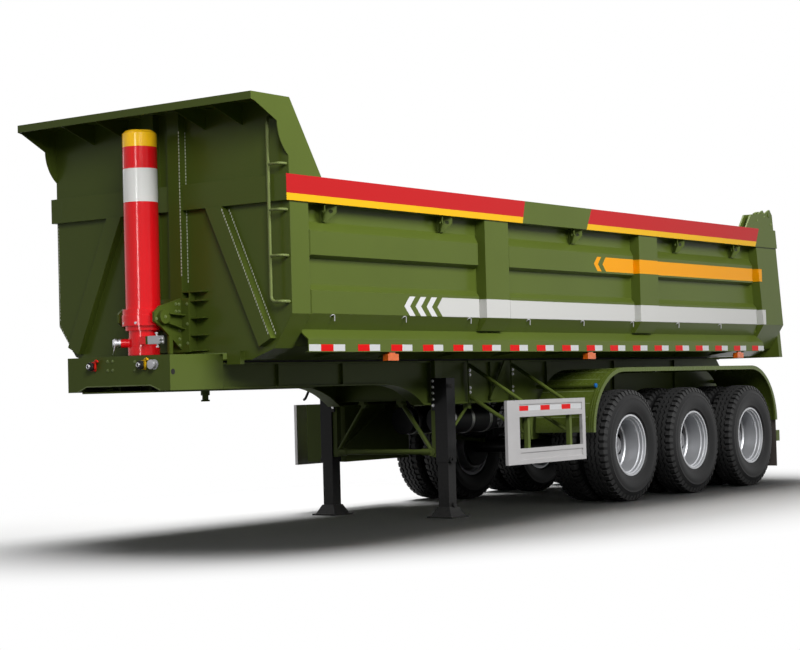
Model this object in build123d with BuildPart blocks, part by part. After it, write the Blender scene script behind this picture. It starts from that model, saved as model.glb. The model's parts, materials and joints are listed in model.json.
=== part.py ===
from build123d import *
import math
import os

os.makedirs("parts", exist_ok=True)

# Tipping semi-trailer with three axles, parked on its landing legs.
# X runs forward, Y to the left, Z up; the ground is Z = 0. All sizes in millimetres.

# Overall
overall_length = 9400.0
coupling_reach = 70.0
front_face_x = overall_length / 2 - coupling_reach
rear_end_x = -overall_length / 2
headboard_setback = 590.0
headboard_x = front_face_x - headboard_setback

# Wheels and axles
axle_overhang = 2300.0
middle_axle_x = rear_end_x + axle_overhang
axle_pitch = 1310.0
axle_places = (
    ("front", middle_axle_x + axle_pitch),
    ("middle", middle_axle_x),
    ("rear", middle_axle_x - axle_pitch),
)
tyre_radius = 542.5
tyre_width = 300.0
twin_spacing = 340.0
twin_plane_y = 930.0
bead_radius = 286.0
flange_radius = 298.0
rim_width = 236.0
bore_gap = 0.3
spindle_radius = 45.0
axle_radius = 70.0
hand_holes = 10
hand_hole_radius = 30.0
hand_hole_circle = 226.0

# Main frame
beam_y = 475.0
beam_width = 140.0
web_y = 505.0
web = 10.0
flange = 14.0
beam_top_z = 1390.0
beam_front_z = 1187.0
beam_low_z = 1000.0
beam_rear_x = rear_end_x + 200.0
neck_radius = 930.0
neck_turn = math.acos(1 - (beam_front_z - beam_low_z) / neck_radius)
neck_run = neck_radius * math.sin(neck_turn)
beam_inner_y = web_y - web / 2
beam_outer_y = web_y + web / 2
beam_edge_y = beam_y + beam_width / 2

# Front box and coupling
box_length = 593.0
box_half_width = 543.0
box_top_z = 1456.0
box_rear_x = front_face_x - box_length
box_plate = 12.0
coupler_plate = 12.0
kingpin_setback = 980.0
kingpin_x = front_face_x - kingpin_setback
coupler_half = box_half_width - 23.0

# Tipping body
floor_z = 1405.0
floor_plate = 10.0
floor_half = 820.0
bilge_y = 1040.0
bilge_z = 1500.0
wall_y = 1150.0
wall_foot_z = 1654.6
rail_low_z = 2590.0
rail_height = 200.0
rail_top_z = rail_low_z + rail_height
rail_y = 1265.0
post_y = 1250.0
rib_y = 1215.0
post_knee_z = 1740.0
rear_slope = 0.155
tailgate_gap = 6.0
tailgate_panel = 45.0
tailgate_rib = 35.0
tailgate_low_z = 1385.0
tailgate_top_z = rail_low_z + 160.0
tailgate_half = 1160.0
tailgate_depth = tailgate_gap + tailgate_panel + tailgate_rib
rear_top_x = rear_end_x + tailgate_depth + rear_slope * (rail_low_z - tailgate_low_z)
head_plate = 8.0
guard_top_z = 3372.0
guard_front_x = headboard_x + 417.0
guard_plate = 6.0

# Hinge of the tipping body and the telescopic cylinder
hinge_x = rear_end_x + 400.0
hinge_z = 1250.0
hinge_radius = 45.0
cylinder_setback = 290.0
cylinder_x = front_face_x - cylinder_setback
cylinder_foot_z = 1330.0
trunnion_z = 1755.0
cover_radius = 135.0
cover_low_z = 1655.0
cover_top_z = guard_top_z - 292.0
cap_height = 130.0
base_radius = 115.0
stage_step = 13.0
stage_gap = 0.6
stage_count = 4
tailgate_pin_x = rear_end_x + 435.0
tailgate_pin_z = rail_top_z + 166.0
tailgate_pin_radius = 25.0

# Mudguards
arch_radius = 600.0
arch_top_z = 1290.0
arch_front_x = axle_places[0][1] + 105.0
arch_rear_x = axle_places[2][1] - 60.0
arch_low_z = arch_top_z - arch_radius
arch_edge_x = arch_front_x + arch_radius

# Landing legs, between the mudguards and the kingpin, just behind the gooseneck
neck_share = 0.5137
neck_to_leg = 165.0
neck_room = kingpin_x - arch_edge_x - neck_run - neck_to_leg
neck_front_x = kingpin_x - neck_share * neck_room
neck_rear_x = neck_front_x - neck_run
leg_x = neck_rear_x - neck_to_leg
leg_y = 652.0
leg_size = 130.0
leg_wall = 8.0
leg_low_z = 490.0
leg_top_z = 1235.0
leg_flange_y = 552.0
leg_flange_low_z = 950.0
foot_size = 270.0
foot_height = 95.0


def block(x, y, z):
    """A box between two places on each axis."""
    with Locations((sum(x) / 2, sum(y) / 2, sum(z) / 2)):
        Box(abs(x[1] - x[0]), abs(y[1] - y[0]), abs(z[1] - z[0]))


def side_plate(points, y, mode=Mode.ADD):
    """A plate drawn from the side, between two places across the width."""
    with BuildSketch(Plane.XZ.offset(-max(y))) as outline:
        with BuildLine():
            Polyline(*points, close=True)
        make_face()
    extrude(outline.sketch, amount=abs(y[1] - y[0]), mode=mode)


def front_plate(points, x, mode=Mode.ADD):
    """A plate drawn from the front, between two places along the length."""
    with BuildSketch(Plane.YZ.offset(min(x))) as outline:
        with BuildLine():
            Polyline(*points, close=True)
        make_face()
    extrude(outline.sketch, amount=abs(x[1] - x[0]), mode=mode)


def bar_y(x, z, radius, y, mode=Mode.ADD):
    """A round bar across the width."""
    with Locations(Location((x, sum(y) / 2, z), (90, 0, 0))):
        Cylinder(radius, abs(y[1] - y[0]), mode=mode)


def bar_x(y, z, radius, x, mode=Mode.ADD):
    """A round bar along the length."""
    with Locations(Location((sum(x) / 2, y, z), (0, 90, 0))):
        Cylinder(radius, abs(x[1] - x[0]), mode=mode)


def bar_z(x, y, radius, z, mode=Mode.ADD):
    """An upright round bar."""
    with Locations((x, y, sum(z) / 2)):
        Cylinder(radius, abs(z[1] - z[0]), mode=mode)


def rod(start, end, radius):
    """A round rod between two points."""
    run = Vector(*end) - Vector(*start)
    with BuildSketch(Plane(origin=start, z_dir=run)) as section:
        Circle(radius)
    extrude(section.sketch, amount=run.length)


def offset_path(points, distance):
    """The same path moved to its left by a distance, with mitred corners."""
    moved = []
    for i, (u, v) in enumerate(points):
        before = points[max(i - 1, 0)]
        after = points[min(i + 1, len(points) - 1)]
        turns = []
        for a, b in ((before, (u, v)), ((u, v), after)):
            run = math.hypot(b[0] - a[0], b[1] - a[1])
            if run > 0:
                turns.append((-(b[1] - a[1]) / run, (b[0] - a[0]) / run))
        nu = sum(t[0] for t in turns) / len(turns)
        nv = sum(t[1] for t in turns) / len(turns)
        size = nu * nu + nv * nv
        moved.append((u + distance * nu / size, v + distance * nv / size))
    return moved


def rear_x(z):
    """Where the sloping rear end of the body stands at a height."""
    return rear_top_x - rear_slope * (rail_low_z - z)


def bilge_edge(z):
    """The outer face of the steep lower side plate at a height."""
    return bilge_y + (z - bilge_z) * (wall_y - bilge_y) / (wall_foot_z - bilge_z)


def beam_edge(rise):
    """The lower edge of a main beam, with its gooseneck, raised by an amount."""
    Line((box_rear_x, beam_front_z + rise), (neck_front_x, beam_front_z + rise))
    JernArc((neck_front_x, beam_front_z + rise), (-1, 0), neck_radius, math.degrees(neck_turn))
    Line((neck_rear_x, beam_low_z + rise), (beam_rear_x, beam_low_z + rise))


rear_plane = Plane(origin=(rear_top_x, 0, rail_low_z), x_dir=(0, 1, 0), z_dir=(-1, 0, rear_slope))

# The skin of the load space, seen from the front: down the right wall, over the floor, up the left wall.
skin_outside = [
    (-wall_y, rail_low_z),
    (-wall_y, wall_foot_z),
    (-bilge_y, bilge_z),
    (-floor_half, floor_z),
    (floor_half, floor_z),
    (bilge_y, bilge_z),
    (wall_y, wall_foot_z),
    (wall_y, rail_low_z),
]
skin_inside = offset_path(skin_outside, floor_plate)

# Wheels: twin tyres, twin rims with their hub and drum, one set at each axle end.
tyre_profile = (
    (100.0, bead_radius + bore_gap),
    (tyre_width / 2, 405.0),
    (118.0, tyre_radius - 6.0),
    (100.0, tyre_radius),
)
for axle, axle_x in axle_places:
    for side, sign in (("left", 1), ("right", -1)):
        with BuildPart() as tyres:
            for twin in (-1, 1):
                middle_y = sign * (twin_plane_y + twin * twin_spacing / 2)
                half = [(axle_x + r, middle_y + w) for w, r in tyre_profile]
                other = [(axle_x + r, middle_y - w) for w, r in reversed(tyre_profile)]
                with BuildSketch(Plane.XY.offset(tyre_radius)) as section:
                    with BuildLine():
                        Polyline(*half, *other, close=True)
                    make_face()
                revolve(section.sketch, Axis((axle_x, 0, tyre_radius), (0, 1, 0)), 360)
        tyres.part.label = f"tyres_{side}_{axle}"
        export_step(tyres.part, f"parts/tyres_{side}_{axle}.step")

        with BuildPart() as rims:
            rim_start = twin_spacing / 2 - rim_width / 2
            rim_end = twin_spacing / 2 + rim_width / 2
            rim_profile = (
                (0.5, 150.0),
                (12.0, 150.0),
                (12.0, 205.0),
                (rim_start + 30.0, 257.0),
                (rim_end - 60.0, 257.0),
                (rim_end - 54.0, 268.0),
                (rim_end - 24.0, 268.0),
                (rim_end - 20.0, 277.0),
                (rim_end, 281.0),
                (rim_end, flange_radius),
                (rim_end - 9.0, flange_radius),
                (rim_end - 14.0, bead_radius),
                (rim_start + 14.0, bead_radius),
                (rim_start + 9.0, flange_radius),
                (rim_start, flange_radius),
                (rim_start, 272.0),
                (0.5, 212.0),
            )
            for twin in (-1, 1):
                ring = [(axle_x + r, sign * (twin_plane_y + twin * w)) for w, r in rim_profile]
                with BuildSketch(Plane.XY.offset(tyre_radius)) as section:
                    with BuildLine():
                        Polyline(*ring, close=True)
                    make_face()
                revolve(section.sketch, Axis((axle_x, 0, tyre_radius), (0, 1, 0)), 360)
            for i in range(hand_holes):
                turn = math.tau * (i + 0.5) / hand_holes
                hole_x = axle_x + hand_hole_circle * math.cos(turn)
                hole_z = tyre_radius + hand_hole_circle * math.sin(turn)
                hole_y = (sign * (twin_plane_y - 45), sign * (twin_plane_y + 45))
                bar_y(hole_x, hole_z, hand_hole_radius, hole_y, Mode.SUBTRACT)
        rims.part.label = f"rims_{side}_{axle}"
        export_step(rims.part, f"parts/rims_{side}_{axle}.step")

        with BuildPart() as hub:
            hub_profile = (
                (600.0, 208.0),
                (600.0, 225.0),
                (850.0, 225.0),
                (850.0, 198.0),
                (917.7, 198.0),
                (917.7, 149.5),
                (975.0, 149.5),
                (990.0, 135.0),
                (1000.0, 95.0),
                (1045.0, 95.0),
                (1060.0, 80.0),
                (1060.0, 0.0),
                (1010.0, 0.0),
                (1010.0, spindle_radius + bore_gap),
                (700.0, spindle_radius + bore_gap),
                (700.0, 120.0),
                (825.0, 130.0),
                (825.0, 208.0),
            )
            ring = [(axle_x + r, sign * y) for y, r in hub_profile]
            with BuildSketch(Plane.XY.offset(tyre_radius)) as section:
                with BuildLine():
                    Polyline(*ring, close=True)
                make_face()
            revolve(section.sketch, Axis((axle_x, 0, tyre_radius), (0, 1, 0)), 360)
        hub.part.label = f"hub_{side}_{axle}"
        export_step(hub.part, f"parts/hub_{side}_{axle}.step")

# Axle beams with stub ends, brake plates, spring seats and brake chambers.
spring_low_z = 650.0
leaf = 14.0
leaf_count = 5
spring_top_z = spring_low_z + leaf * leaf_count
seat_half_x = 60.0
with BuildPart() as axles:
    for axle, axle_x in axle_places:
        bar_y(axle_x, tyre_radius, axle_radius, (-585.0, 585.0))
        bar_y(axle_x, tyre_radius, spindle_radius, (-1005.0, 1005.0))
        for sign in (1, -1):
            bar_y(axle_x, tyre_radius, 200.0, (sign * 575.0, sign * 590.0))
            block(
                (axle_x - seat_half_x, axle_x + seat_half_x),
                (sign * (beam_y - 45), sign * (beam_y + 45)),
                (tyre_radius, spring_low_z),
            )
            block(
                (axle_x - 80, axle_x + 80),
                (sign * (beam_y - 65), sign * (beam_y + 65)),
                (spring_low_z - 20, spring_low_z),
            )
            block((axle_x - 130, axle_x), (sign * 330, sign * 390), (tyre_radius - 20, tyre_radius + 30))
            bar_x(sign * 360, tyre_radius + 20, 78.0, (axle_x - 130, axle_x - 300))
axles.part.label = "axles"
export_step(axles.part, "parts/axles.step")

# Leaf springs with their clamp plates and clamp bolts.
spring_reach = 620.0
with BuildPart() as leaf_springs:
    for axle, axle_x in axle_places:
        for i in range(leaf_count):
            reach = spring_reach - 95.0 * (leaf_count - 1 - i)
            low = spring_low_z + leaf * i
            block((axle_x - reach, axle_x + reach), (beam_y - 45, beam_y + 45), (low, low + leaf))
        block((axle_x - 75, axle_x + 75), (beam_y - 62, beam_y + 62), (spring_top_z, spring_top_z + 20))
        for dx in (-55, 55):
            for dy in (-54, 54):
                bar_z(axle_x + dx, beam_y + dy, 8.0, (spring_low_z, spring_top_z + 40))
    mirror(about=Plane.XZ)
leaf_springs.part.label = "leaf_springs"
export_step(leaf_springs.part, "parts/leaf_springs.step")

# Spring hangers under the main beams: one in front, two between the axles, one behind.
hanger_places = (
    ("slipper", axle_places[0][1] + axle_pitch / 2),
    ("rocker", (axle_places[0][1] + axle_places[1][1]) / 2),
    ("rocker", (axle_places[1][1] + axle_places[2][1]) / 2),
    ("slipper", axle_places[2][1] - axle_pitch / 2),
)
hanger_half_x = 105.0
rocker_pin_z = spring_top_z + 75.0
with BuildPart() as spring_hangers:
    for kind, place in hanger_places:
        for cheek in (-1, 1):
            near = beam_y + cheek * 50.0
            side_plate(
                (
                    (place - hanger_half_x, beam_low_z),
                    (place + hanger_half_x, beam_low_z),
                    (place + 60.0, spring_low_z - 20.0),
                    (place - 60.0, spring_low_z - 20.0),
                ),
                (near, near + cheek * 10.0),
            )
        block((place - 100, place + 100), (beam_y - 60, beam_y + 60), (beam_low_z - 12, beam_low_z))
        if kind == "slipper":
            block((place - 50, place + 50), (beam_y - 50, beam_y + 50), (spring_top_z, spring_top_z + 60))
        else:
            bar_y(place, rocker_pin_z, 24.7, (beam_y - 66, beam_y + 66))
    mirror(about=Plane.XZ)
spring_hangers.part.label = "spring_hangers"
export_step(spring_hangers.part, "parts/spring_hangers.step")

# Rockers that share the load between neighbouring springs.
with BuildPart() as rockers:
    for kind, place in hanger_places:
        if kind == "rocker":
            side_plate(
                (
                    (place - 150, spring_top_z),
                    (place - 45, spring_top_z),
                    (place, spring_top_z + 25),
                    (place + 45, spring_top_z),
                    (place + 150, spring_top_z),
                    (place + 150, spring_top_z + 35),
                    (place + 50, rocker_pin_z + 45),
                    (place - 50, rocker_pin_z + 45),
                    (place - 150, spring_top_z + 35),
                ),
                (beam_y - 45, beam_y + 45),
            )
            bar_y(place, rocker_pin_z, 25.0, (beam_y - 45, beam_y + 45), Mode.SUBTRACT)
    mirror(about=Plane.XZ)
rockers.part.label = "rockers"
export_step(rockers.part, "parts/rockers.step")

# Radius rods from each axle seat forward to the hanger in front of it.
with BuildPart() as radius_rods:
    for i, (axle, axle_x) in enumerate(axle_places):
        eye_x = hanger_places[i][1]
        seat_x = axle_x + seat_half_x
        block((seat_x, seat_x + 40), (beam_y - 35, beam_y + 35), (tyre_radius + 40, tyre_radius + 85))
        rod((seat_x + 35, beam_y, tyre_radius + 62), (eye_x, beam_y, spring_low_z + 10), 20.0)
        bar_y(eye_x, spring_low_z + 10, 34.0, (beam_y - 50, beam_y + 50))
    mirror(about=Plane.XZ)
radius_rods.part.label = "radius_rods"
export_step(radius_rods.part, "parts/radius_rods.step")

# Places along the frame: in front of the gooseneck, behind the landing legs, and at each axle.
neck_places = [neck_front_x + share * (kingpin_x - neck_front_x) for share in (0.83, 0.34)]
tank_front_x = leg_x - 525.0
tank_length = 800.0
tank_strap_inset = 100.0
tank_places = (tank_front_x - tank_strap_inset, tank_front_x - tank_length + tank_strap_inset)
stiffener_places = neck_places + [leg_x - 925.0] + [axle_x + 400.0 for axle, axle_x in axle_places]

# Main beams: deep I sections with a gooseneck in front and a cut-back rear end.
with BuildPart() as main_beams:
    with BuildSketch(Plane.XZ.offset(-beam_outer_y)) as web_outline:
        with BuildLine():
            beam_edge(flange)
            Polyline(
                (beam_rear_x, beam_low_z + flange),
                (beam_rear_x, hinge_z - 10),
                (hinge_x - 60, beam_top_z - flange),
                (box_rear_x, beam_top_z - flange),
                (box_rear_x, beam_front_z + flange),
            )
        make_face()
    extrude(web_outline.sketch, amount=web)
    with BuildSketch(Plane.XZ.offset(-beam_edge_y)) as flange_outline:
        with BuildLine():
            beam_edge(0)
            Line((beam_rear_x, beam_low_z), (beam_rear_x, beam_low_z + flange))
            beam_edge(flange)
            Line((box_rear_x, beam_front_z + flange), (box_rear_x, beam_front_z))
        make_face()
    extrude(flange_outline.sketch, amount=beam_width)
    block(
        (hinge_x - 60, box_rear_x),
        (beam_y - beam_width / 2, beam_edge_y),
        (beam_top_z - flange, beam_top_z),
    )
    for stiffener_x in stiffener_places:
        low = beam_front_z if stiffener_x > neck_front_x else beam_low_z
        block(
            (stiffener_x - 5, stiffener_x + 5),
            (beam_outer_y, beam_edge_y - 10),
            (low + flange, beam_top_z - flange),
        )
    mirror(about=Plane.XZ)
main_beams.part.label = "main_beams"
export_step(main_beams.part, "parts/main_beams.step")

# Strips along the beams that the tipping body lies on.
with BuildPart() as rest_strips:
    block((hinge_x + 200, box_rear_x - 60), (beam_y - 50, beam_y + 50), (beam_top_z, floor_z))
    mirror(about=Plane.XZ)
rest_strips.part.label = "rest_strips"
export_step(rest_strips.part, "parts/rest_strips.step")

# Cross members between the beams: channels, and the hinge shaft at the rear.
cross_low_z = beam_low_z + 40.0
neck_cross = (beam_front_z + 25.0, 140.0)
deep_cross = (cross_low_z, 180.0)
cross_places = [(place, *neck_cross) for place in (*neck_places, neck_front_x)]
cross_places += [(place, *deep_cross) for place in (leg_x + 95.0, *tank_places)]
cross_places += [(axle_x, *deep_cross) for axle, axle_x in axle_places]
cross_places += [(beam_rear_x + 45.0, beam_low_z + 16.0, 130.0)]
with BuildPart() as cross_members:
    for place, low, height in cross_places:
        block((place - 4, place + 4), (-beam_inner_y, beam_inner_y), (low, low + height))
        block((place - 30, place + 30), (-beam_inner_y, beam_inner_y), (low, low + 8))
        block((place - 30, place + 30), (-beam_inner_y, beam_inner_y), (low + height - 8, low + height))
    bar_y(hinge_x, hinge_z, hinge_radius, (-beam_inner_y, beam_inner_y))
    for sign in (1, -1):
        bar_y(hinge_x, hinge_z, 90.0, (sign * (beam_inner_y - 50), sign * beam_inner_y))
cross_members.part.label = "cross_members"
export_step(cross_members.part, "parts/cross_members.step")

# Front box that carries the foot of the cylinder and the couplings.
well_half = 150.0
cheek_plate = 30.0
foot_pin_radius = 35.0
with BuildPart() as front_box:
    front_plate(
        (
            (-box_half_width, beam_front_z),
            (-440, beam_front_z),
            (-340, beam_front_z + 40),
            (340, beam_front_z + 40),
            (440, beam_front_z),
            (box_half_width, beam_front_z),
            (box_half_width, box_top_z),
            (-box_half_width, box_top_z),
        ),
        (front_face_x - box_plate, front_face_x),
    )
    for sign in (1, -1):
        block(
            (box_rear_x, front_face_x),
            (sign * (box_half_width - box_plate), sign * box_half_width),
            (beam_front_z, box_top_z),
        )
        block(
            (cylinder_x - 110, cylinder_x + 110),
            (sign * well_half, sign * (well_half + cheek_plate)),
            (beam_front_z, box_top_z),
        )
    block(
        (box_rear_x, box_rear_x + box_plate),
        (-box_half_width, box_half_width),
        (beam_front_z, box_top_z),
    )
    block(
        (box_rear_x, front_face_x),
        (-box_half_width, box_half_width),
        (box_top_z - box_plate, box_top_z),
    )
    well_x = (box_rear_x + box_plate, cylinder_x + 145.0)
    with Locations((sum(well_x) / 2, 0, box_top_z)):
        Box(well_x[1] - well_x[0], 2 * well_half, 4 * box_plate, mode=Mode.SUBTRACT)
    bar_y(
        cylinder_x,
        cylinder_foot_z,
        foot_pin_radius + 0.1,
        (-well_half - cheek_plate - 1, well_half + cheek_plate + 1),
        Mode.SUBTRACT,
    )
front_box.part.label = "front_box"
export_step(front_box.part, "parts/front_box.step")

# Coupler plate with the kingpin.
kingpin_collar = 36.5
kingpin_neck = 25.4
kingpin_head = 35.7
coupler_rear = 750.0
coupler_shoulder = 330.0
coupler_inset = 40.0
coupler_nose = coupler_half - 90.0
with BuildPart() as coupler:
    coupler_low_z = beam_front_z - coupler_plate
    with BuildSketch(Plane.XY.offset(coupler_low_z)) as plan:
        with BuildLine():
            Polyline(
                (kingpin_x - coupler_rear, -coupler_half),
                (front_face_x - coupler_shoulder, -coupler_half),
                (front_face_x - coupler_inset, -coupler_nose),
                (front_face_x - coupler_inset, coupler_nose),
                (front_face_x - coupler_shoulder, coupler_half),
                (kingpin_x - coupler_rear, coupler_half),
                close=True,
            )
        make_face()
    extrude(plan.sketch, amount=coupler_plate)
    bar_z(kingpin_x, 0, kingpin_collar, (coupler_low_z, coupler_low_z - 35))
    bar_z(kingpin_x, 0, kingpin_neck, (coupler_low_z - 35, coupler_low_z - 70))
    bar_z(kingpin_x, 0, kingpin_head, (coupler_low_z - 70, coupler_low_z - 84))
coupler.part.label = "coupler_plate"
export_step(coupler.part, "parts/coupler_plate.step")

# Air couplings and the electric socket on the front face.
coupling_z = 1385.0
couplings = (("right", -260.0, 38.0), ("left", 270.0, 38.0), ("socket", 390.0, 40.0))
with BuildPart() as air_couplings:
    for name, place, radius in couplings:
        bar_x(place, coupling_z, radius, (front_face_x, front_face_x + coupling_reach))
air_couplings.part.label = "air_couplings"
export_step(air_couplings.part, "parts/air_couplings.step")

# Landing legs: outer tubes with mounting wings, inner tubes with feet, and braces.
ram_size = leg_size - 2 * leg_wall
with BuildPart() as leg_tubes:
    block(
        (leg_x - leg_size / 2, leg_x + leg_size / 2),
        (leg_y - leg_size / 2, leg_y + leg_size / 2),
        (leg_low_z, leg_top_z),
    )
    with Locations((leg_x, leg_y, (leg_low_z + leg_top_z) / 2 - 10)):
        Box(ram_size, ram_size, leg_top_z - leg_low_z, mode=Mode.SUBTRACT)
    leg_inner_y = leg_y - leg_size / 2
    leg_outer_y = leg_y + leg_size / 2
    block(
        (leg_x + leg_size / 2 - flange, leg_x + leg_size / 2),
        (leg_flange_y, leg_inner_y),
        (leg_flange_low_z, leg_top_z),
    )
    bar_y(leg_x + 25.0, leg_low_z + 20.0, 32.0, (leg_outer_y, leg_outer_y + 18.0))
    bar_y(leg_x + 25.0, leg_low_z + 20.0, 14.0, (leg_outer_y, leg_outer_y + 18.0), Mode.SUBTRACT)
    mirror(about=Plane.XZ)
leg_tubes.part.label = "landing_leg_tubes"
export_step(leg_tubes.part, "parts/landing_leg_tubes.step")

with BuildPart() as leg_feet:
    block(
        (leg_x - ram_size / 2, leg_x + ram_size / 2),
        (leg_y - ram_size / 2, leg_y + ram_size / 2),
        (foot_height, leg_low_z + 300),
    )
    with Locations((leg_x, leg_y, 7)):
        Box(foot_size, foot_size, 14)
    with BuildSketch(Plane.XY.offset(14)) as foot_base:
        with Locations((leg_x, leg_y)):
            Rectangle(foot_size - 50, foot_size - 50)
    with BuildSketch(Plane.XY.offset(foot_height)) as foot_neck:
        with Locations((leg_x, leg_y)):
            Rectangle(ram_size + 20, ram_size + 20)
    loft(sections=[foot_base.sketch, foot_neck.sketch])
    bar_y(leg_x, foot_height + 18.0, 22.0, (leg_y, leg_y + leg_size / 2 + 14.0))
    mirror(about=Plane.XZ)
leg_feet.part.label = "landing_leg_feet"
export_step(leg_feet.part, "parts/landing_leg_feet.step")

brace_x = leg_x + 40.0
brace_z = 580.0
brace_end_y = 535.0
brace_apex = (211.0, beam_low_z + 12.0)
brace_radius = 20.0
strap_y = (brace_end_y, leg_y - leg_size / 2)
wing_half_x = 50.0
rear_brace_x = leg_x - 605.0
with BuildPart() as leg_braces:
    for sign in (1, -1):
        block(
            (leg_x - wing_half_x, leg_x + wing_half_x),
            (sign * beam_edge_y, sign * strap_y[1]),
            (beam_low_z, beam_top_z),
        )
        block(
            (leg_x - 10.0, brace_x + 10.0),
            (sign * strap_y[0], sign * strap_y[1]),
            (brace_z - 45.0, beam_low_z),
        )
        bar_x(sign * brace_end_y, brace_z, 36.0, (brace_x - 24.0, brace_x + 24.0))
        rod(
            (brace_x, sign * brace_end_y, brace_z),
            (brace_x, sign * brace_apex[0], brace_apex[1]),
            brace_radius,
        )
        bar_x(sign * brace_apex[0], brace_apex[1], 32.0, (brace_x - 24.0, brace_x + 24.0))
        block(
            (brace_x - 14.0, leg_x + 95.0),
            (sign * (brace_apex[0] - 28.0), sign * (brace_apex[0] + 28.0)),
            (brace_apex[1], cross_low_z),
        )
        rod(
            (leg_x, sign * (strap_y[1] - 22.0), brace_z + 10.0),
            (rear_brace_x, sign * beam_y, beam_low_z - 30.0),
            14.0,
        )
        block(
            (rear_brace_x - 30.0, rear_brace_x + 30.0),
            (sign * (beam_y - 25.0), sign * (beam_y + 25.0)),
            (beam_low_z - 50.0, beam_low_z),
        )
        bar_y(brace_x, brace_z, 32.0, (sign * (brace_end_y - 110.0), sign * brace_end_y))
    bar_y(brace_x, brace_z, 24.0, (-brace_end_y, brace_end_y))
leg_braces.part.label = "landing_leg_braces"
export_step(leg_braces.part, "parts/landing_leg_braces.step")

# Side guards: flat frames with one long window, carried on stays from the beams.
guard_front = leg_x - 150.0
guard_rear = arch_edge_x + 129.0
guard_low_z = 450.0
guard_high_z = 1020.0
guard_y = 1210.0
guard_depth = 30.0
window_x = (guard_rear + 56.0, guard_front - 198.0)
window_z = (guard_low_z + 140.0, guard_high_z - 150.0)
groove_depth = 10.0
guard_grooves = (
    (guard_low_z + 38.0, guard_low_z + 104.0),
    (guard_high_z - 112.0, guard_high_z - 38.0),
)
with BuildPart() as side_guards:
    block((guard_rear, guard_front), (guard_y - guard_depth, guard_y), (guard_low_z, guard_high_z))
    with Locations((sum(window_x) / 2, guard_y, sum(window_z) / 2)):
        Box(window_x[1] - window_x[0], 4 * guard_depth, window_z[1] - window_z[0], mode=Mode.SUBTRACT)
    for low, high in guard_grooves:
        with Locations((sum(window_x) / 2, guard_y, (low + high) / 2)):
            Box(window_x[1] - window_x[0], 2 * groove_depth, high - low, mode=Mode.SUBTRACT)
    mirror(about=Plane.XZ)
side_guards.part.label = "side_guards"
export_step(side_guards.part, "parts/side_guards.step")

tool_box_share = 0.245
tool_box_x = (guard_rear + tool_box_share * (guard_front - guard_rear), guard_front - 5.0)
tool_box_y = (-1060.0, -600.0)
tool_box_z = (480.0, 1020.0)
stay_y = guard_y - guard_depth
stay_places = [window_x[0] + share * (window_x[1] - window_x[0]) for share in (0.817, 0.149)]
guard_stays = [(sign, place) for sign in (1, -1) for place in stay_places]
strut_x = leg_x - 1165.0
strut_run = 260.0
strut_width = 70.0
strut_low_z = tool_box_z[1] + 6.0
with BuildPart() as side_stays:
    for sign in (1, -1):
        side_plate(
            (
                (strut_x - strut_width / 2, beam_top_z - 4.0),
                (strut_x + strut_width / 2, beam_top_z - 4.0),
                (strut_x + strut_run + strut_width / 2, strut_low_z),
                (strut_x + strut_run - strut_width / 2, strut_low_z),
            ),
            (sign * beam_edge_y, sign * (beam_edge_y + 12.0)),
        )
    for sign, place in guard_stays:
        upright_y = (sign * (stay_y - 40), sign * stay_y)
        block((place - 20, place + 20), upright_y, (guard_low_z + 10, guard_high_z - 10))
        if sign < 0 and tool_box_x[0] < place < tool_box_x[1]:
            for height in (tool_box_z[0] + 80, tool_box_z[1] - 80):
                block((place - 20, place + 20), (tool_box_y[0], -(stay_y - 40)), (height - 20, height + 20))
        else:
            foot_y = sign * (beam_edge_y + 6)
            end_y = sign * (stay_y - 20)
            block(
                (place - 20, place + 20),
                (sign * beam_edge_y, sign * (beam_edge_y + 12)),
                (beam_low_z, beam_top_z),
            )
            rod((place, foot_y, beam_top_z - 40), (place, end_y, guard_high_z - 40), 18.0)
            rod((place, foot_y, beam_low_z + 60), (place, end_y, guard_low_z + 260), 18.0)
side_stays.part.label = "side_guard_stays"
export_step(side_stays.part, "parts/side_guard_stays.step")

# Mudguards over the three wheels of each side, with rolled outer lips.
arch_plate = 5.0
arch_lip = 35.0
arch_inner_y = 575.0
arch_outer_y = 1225.0
bead_height = 6.0
bead_width = 13.0
bead_pitch = 23.0
bead_count = 3


def arch_face(outer, inner, y, length):
    """A sheet between two radii bent along the mudguard, from a place across the width inwards."""
    with BuildSketch(Plane.XZ.offset(-y)) as sheet:
        with BuildLine():
            CenterArc((arch_front_x, arch_low_z), outer, 0, 90)
            Line((arch_front_x, arch_low_z + outer), (arch_rear_x, arch_low_z + outer))
            CenterArc((arch_rear_x, arch_low_z), outer, 90, 90)
            Line((arch_rear_x - outer, arch_low_z), (arch_rear_x - inner, arch_low_z))
            CenterArc((arch_rear_x, arch_low_z), inner, 90, 90)
            Line((arch_rear_x, arch_low_z + inner), (arch_front_x, arch_low_z + inner))
            CenterArc((arch_front_x, arch_low_z), inner, 0, 90)
            Line((arch_front_x + inner, arch_low_z), (arch_front_x + outer, arch_low_z))
        make_face()
    extrude(sheet.sketch, amount=length)


with BuildPart() as mudguards:
    arch_face(arch_radius, arch_radius - arch_plate, arch_outer_y, arch_outer_y - arch_inner_y)
    arch_face(arch_radius, arch_radius - arch_lip, arch_outer_y, 20.0)
    for i in range(bead_count):
        arch_face(arch_radius + bead_height, arch_radius, arch_outer_y - bead_pitch * i, bead_width)
    mirror(about=Plane.XZ)
mudguards.part.label = "mudguards"
export_step(mudguards.part, "parts/mudguards.step")

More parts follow.
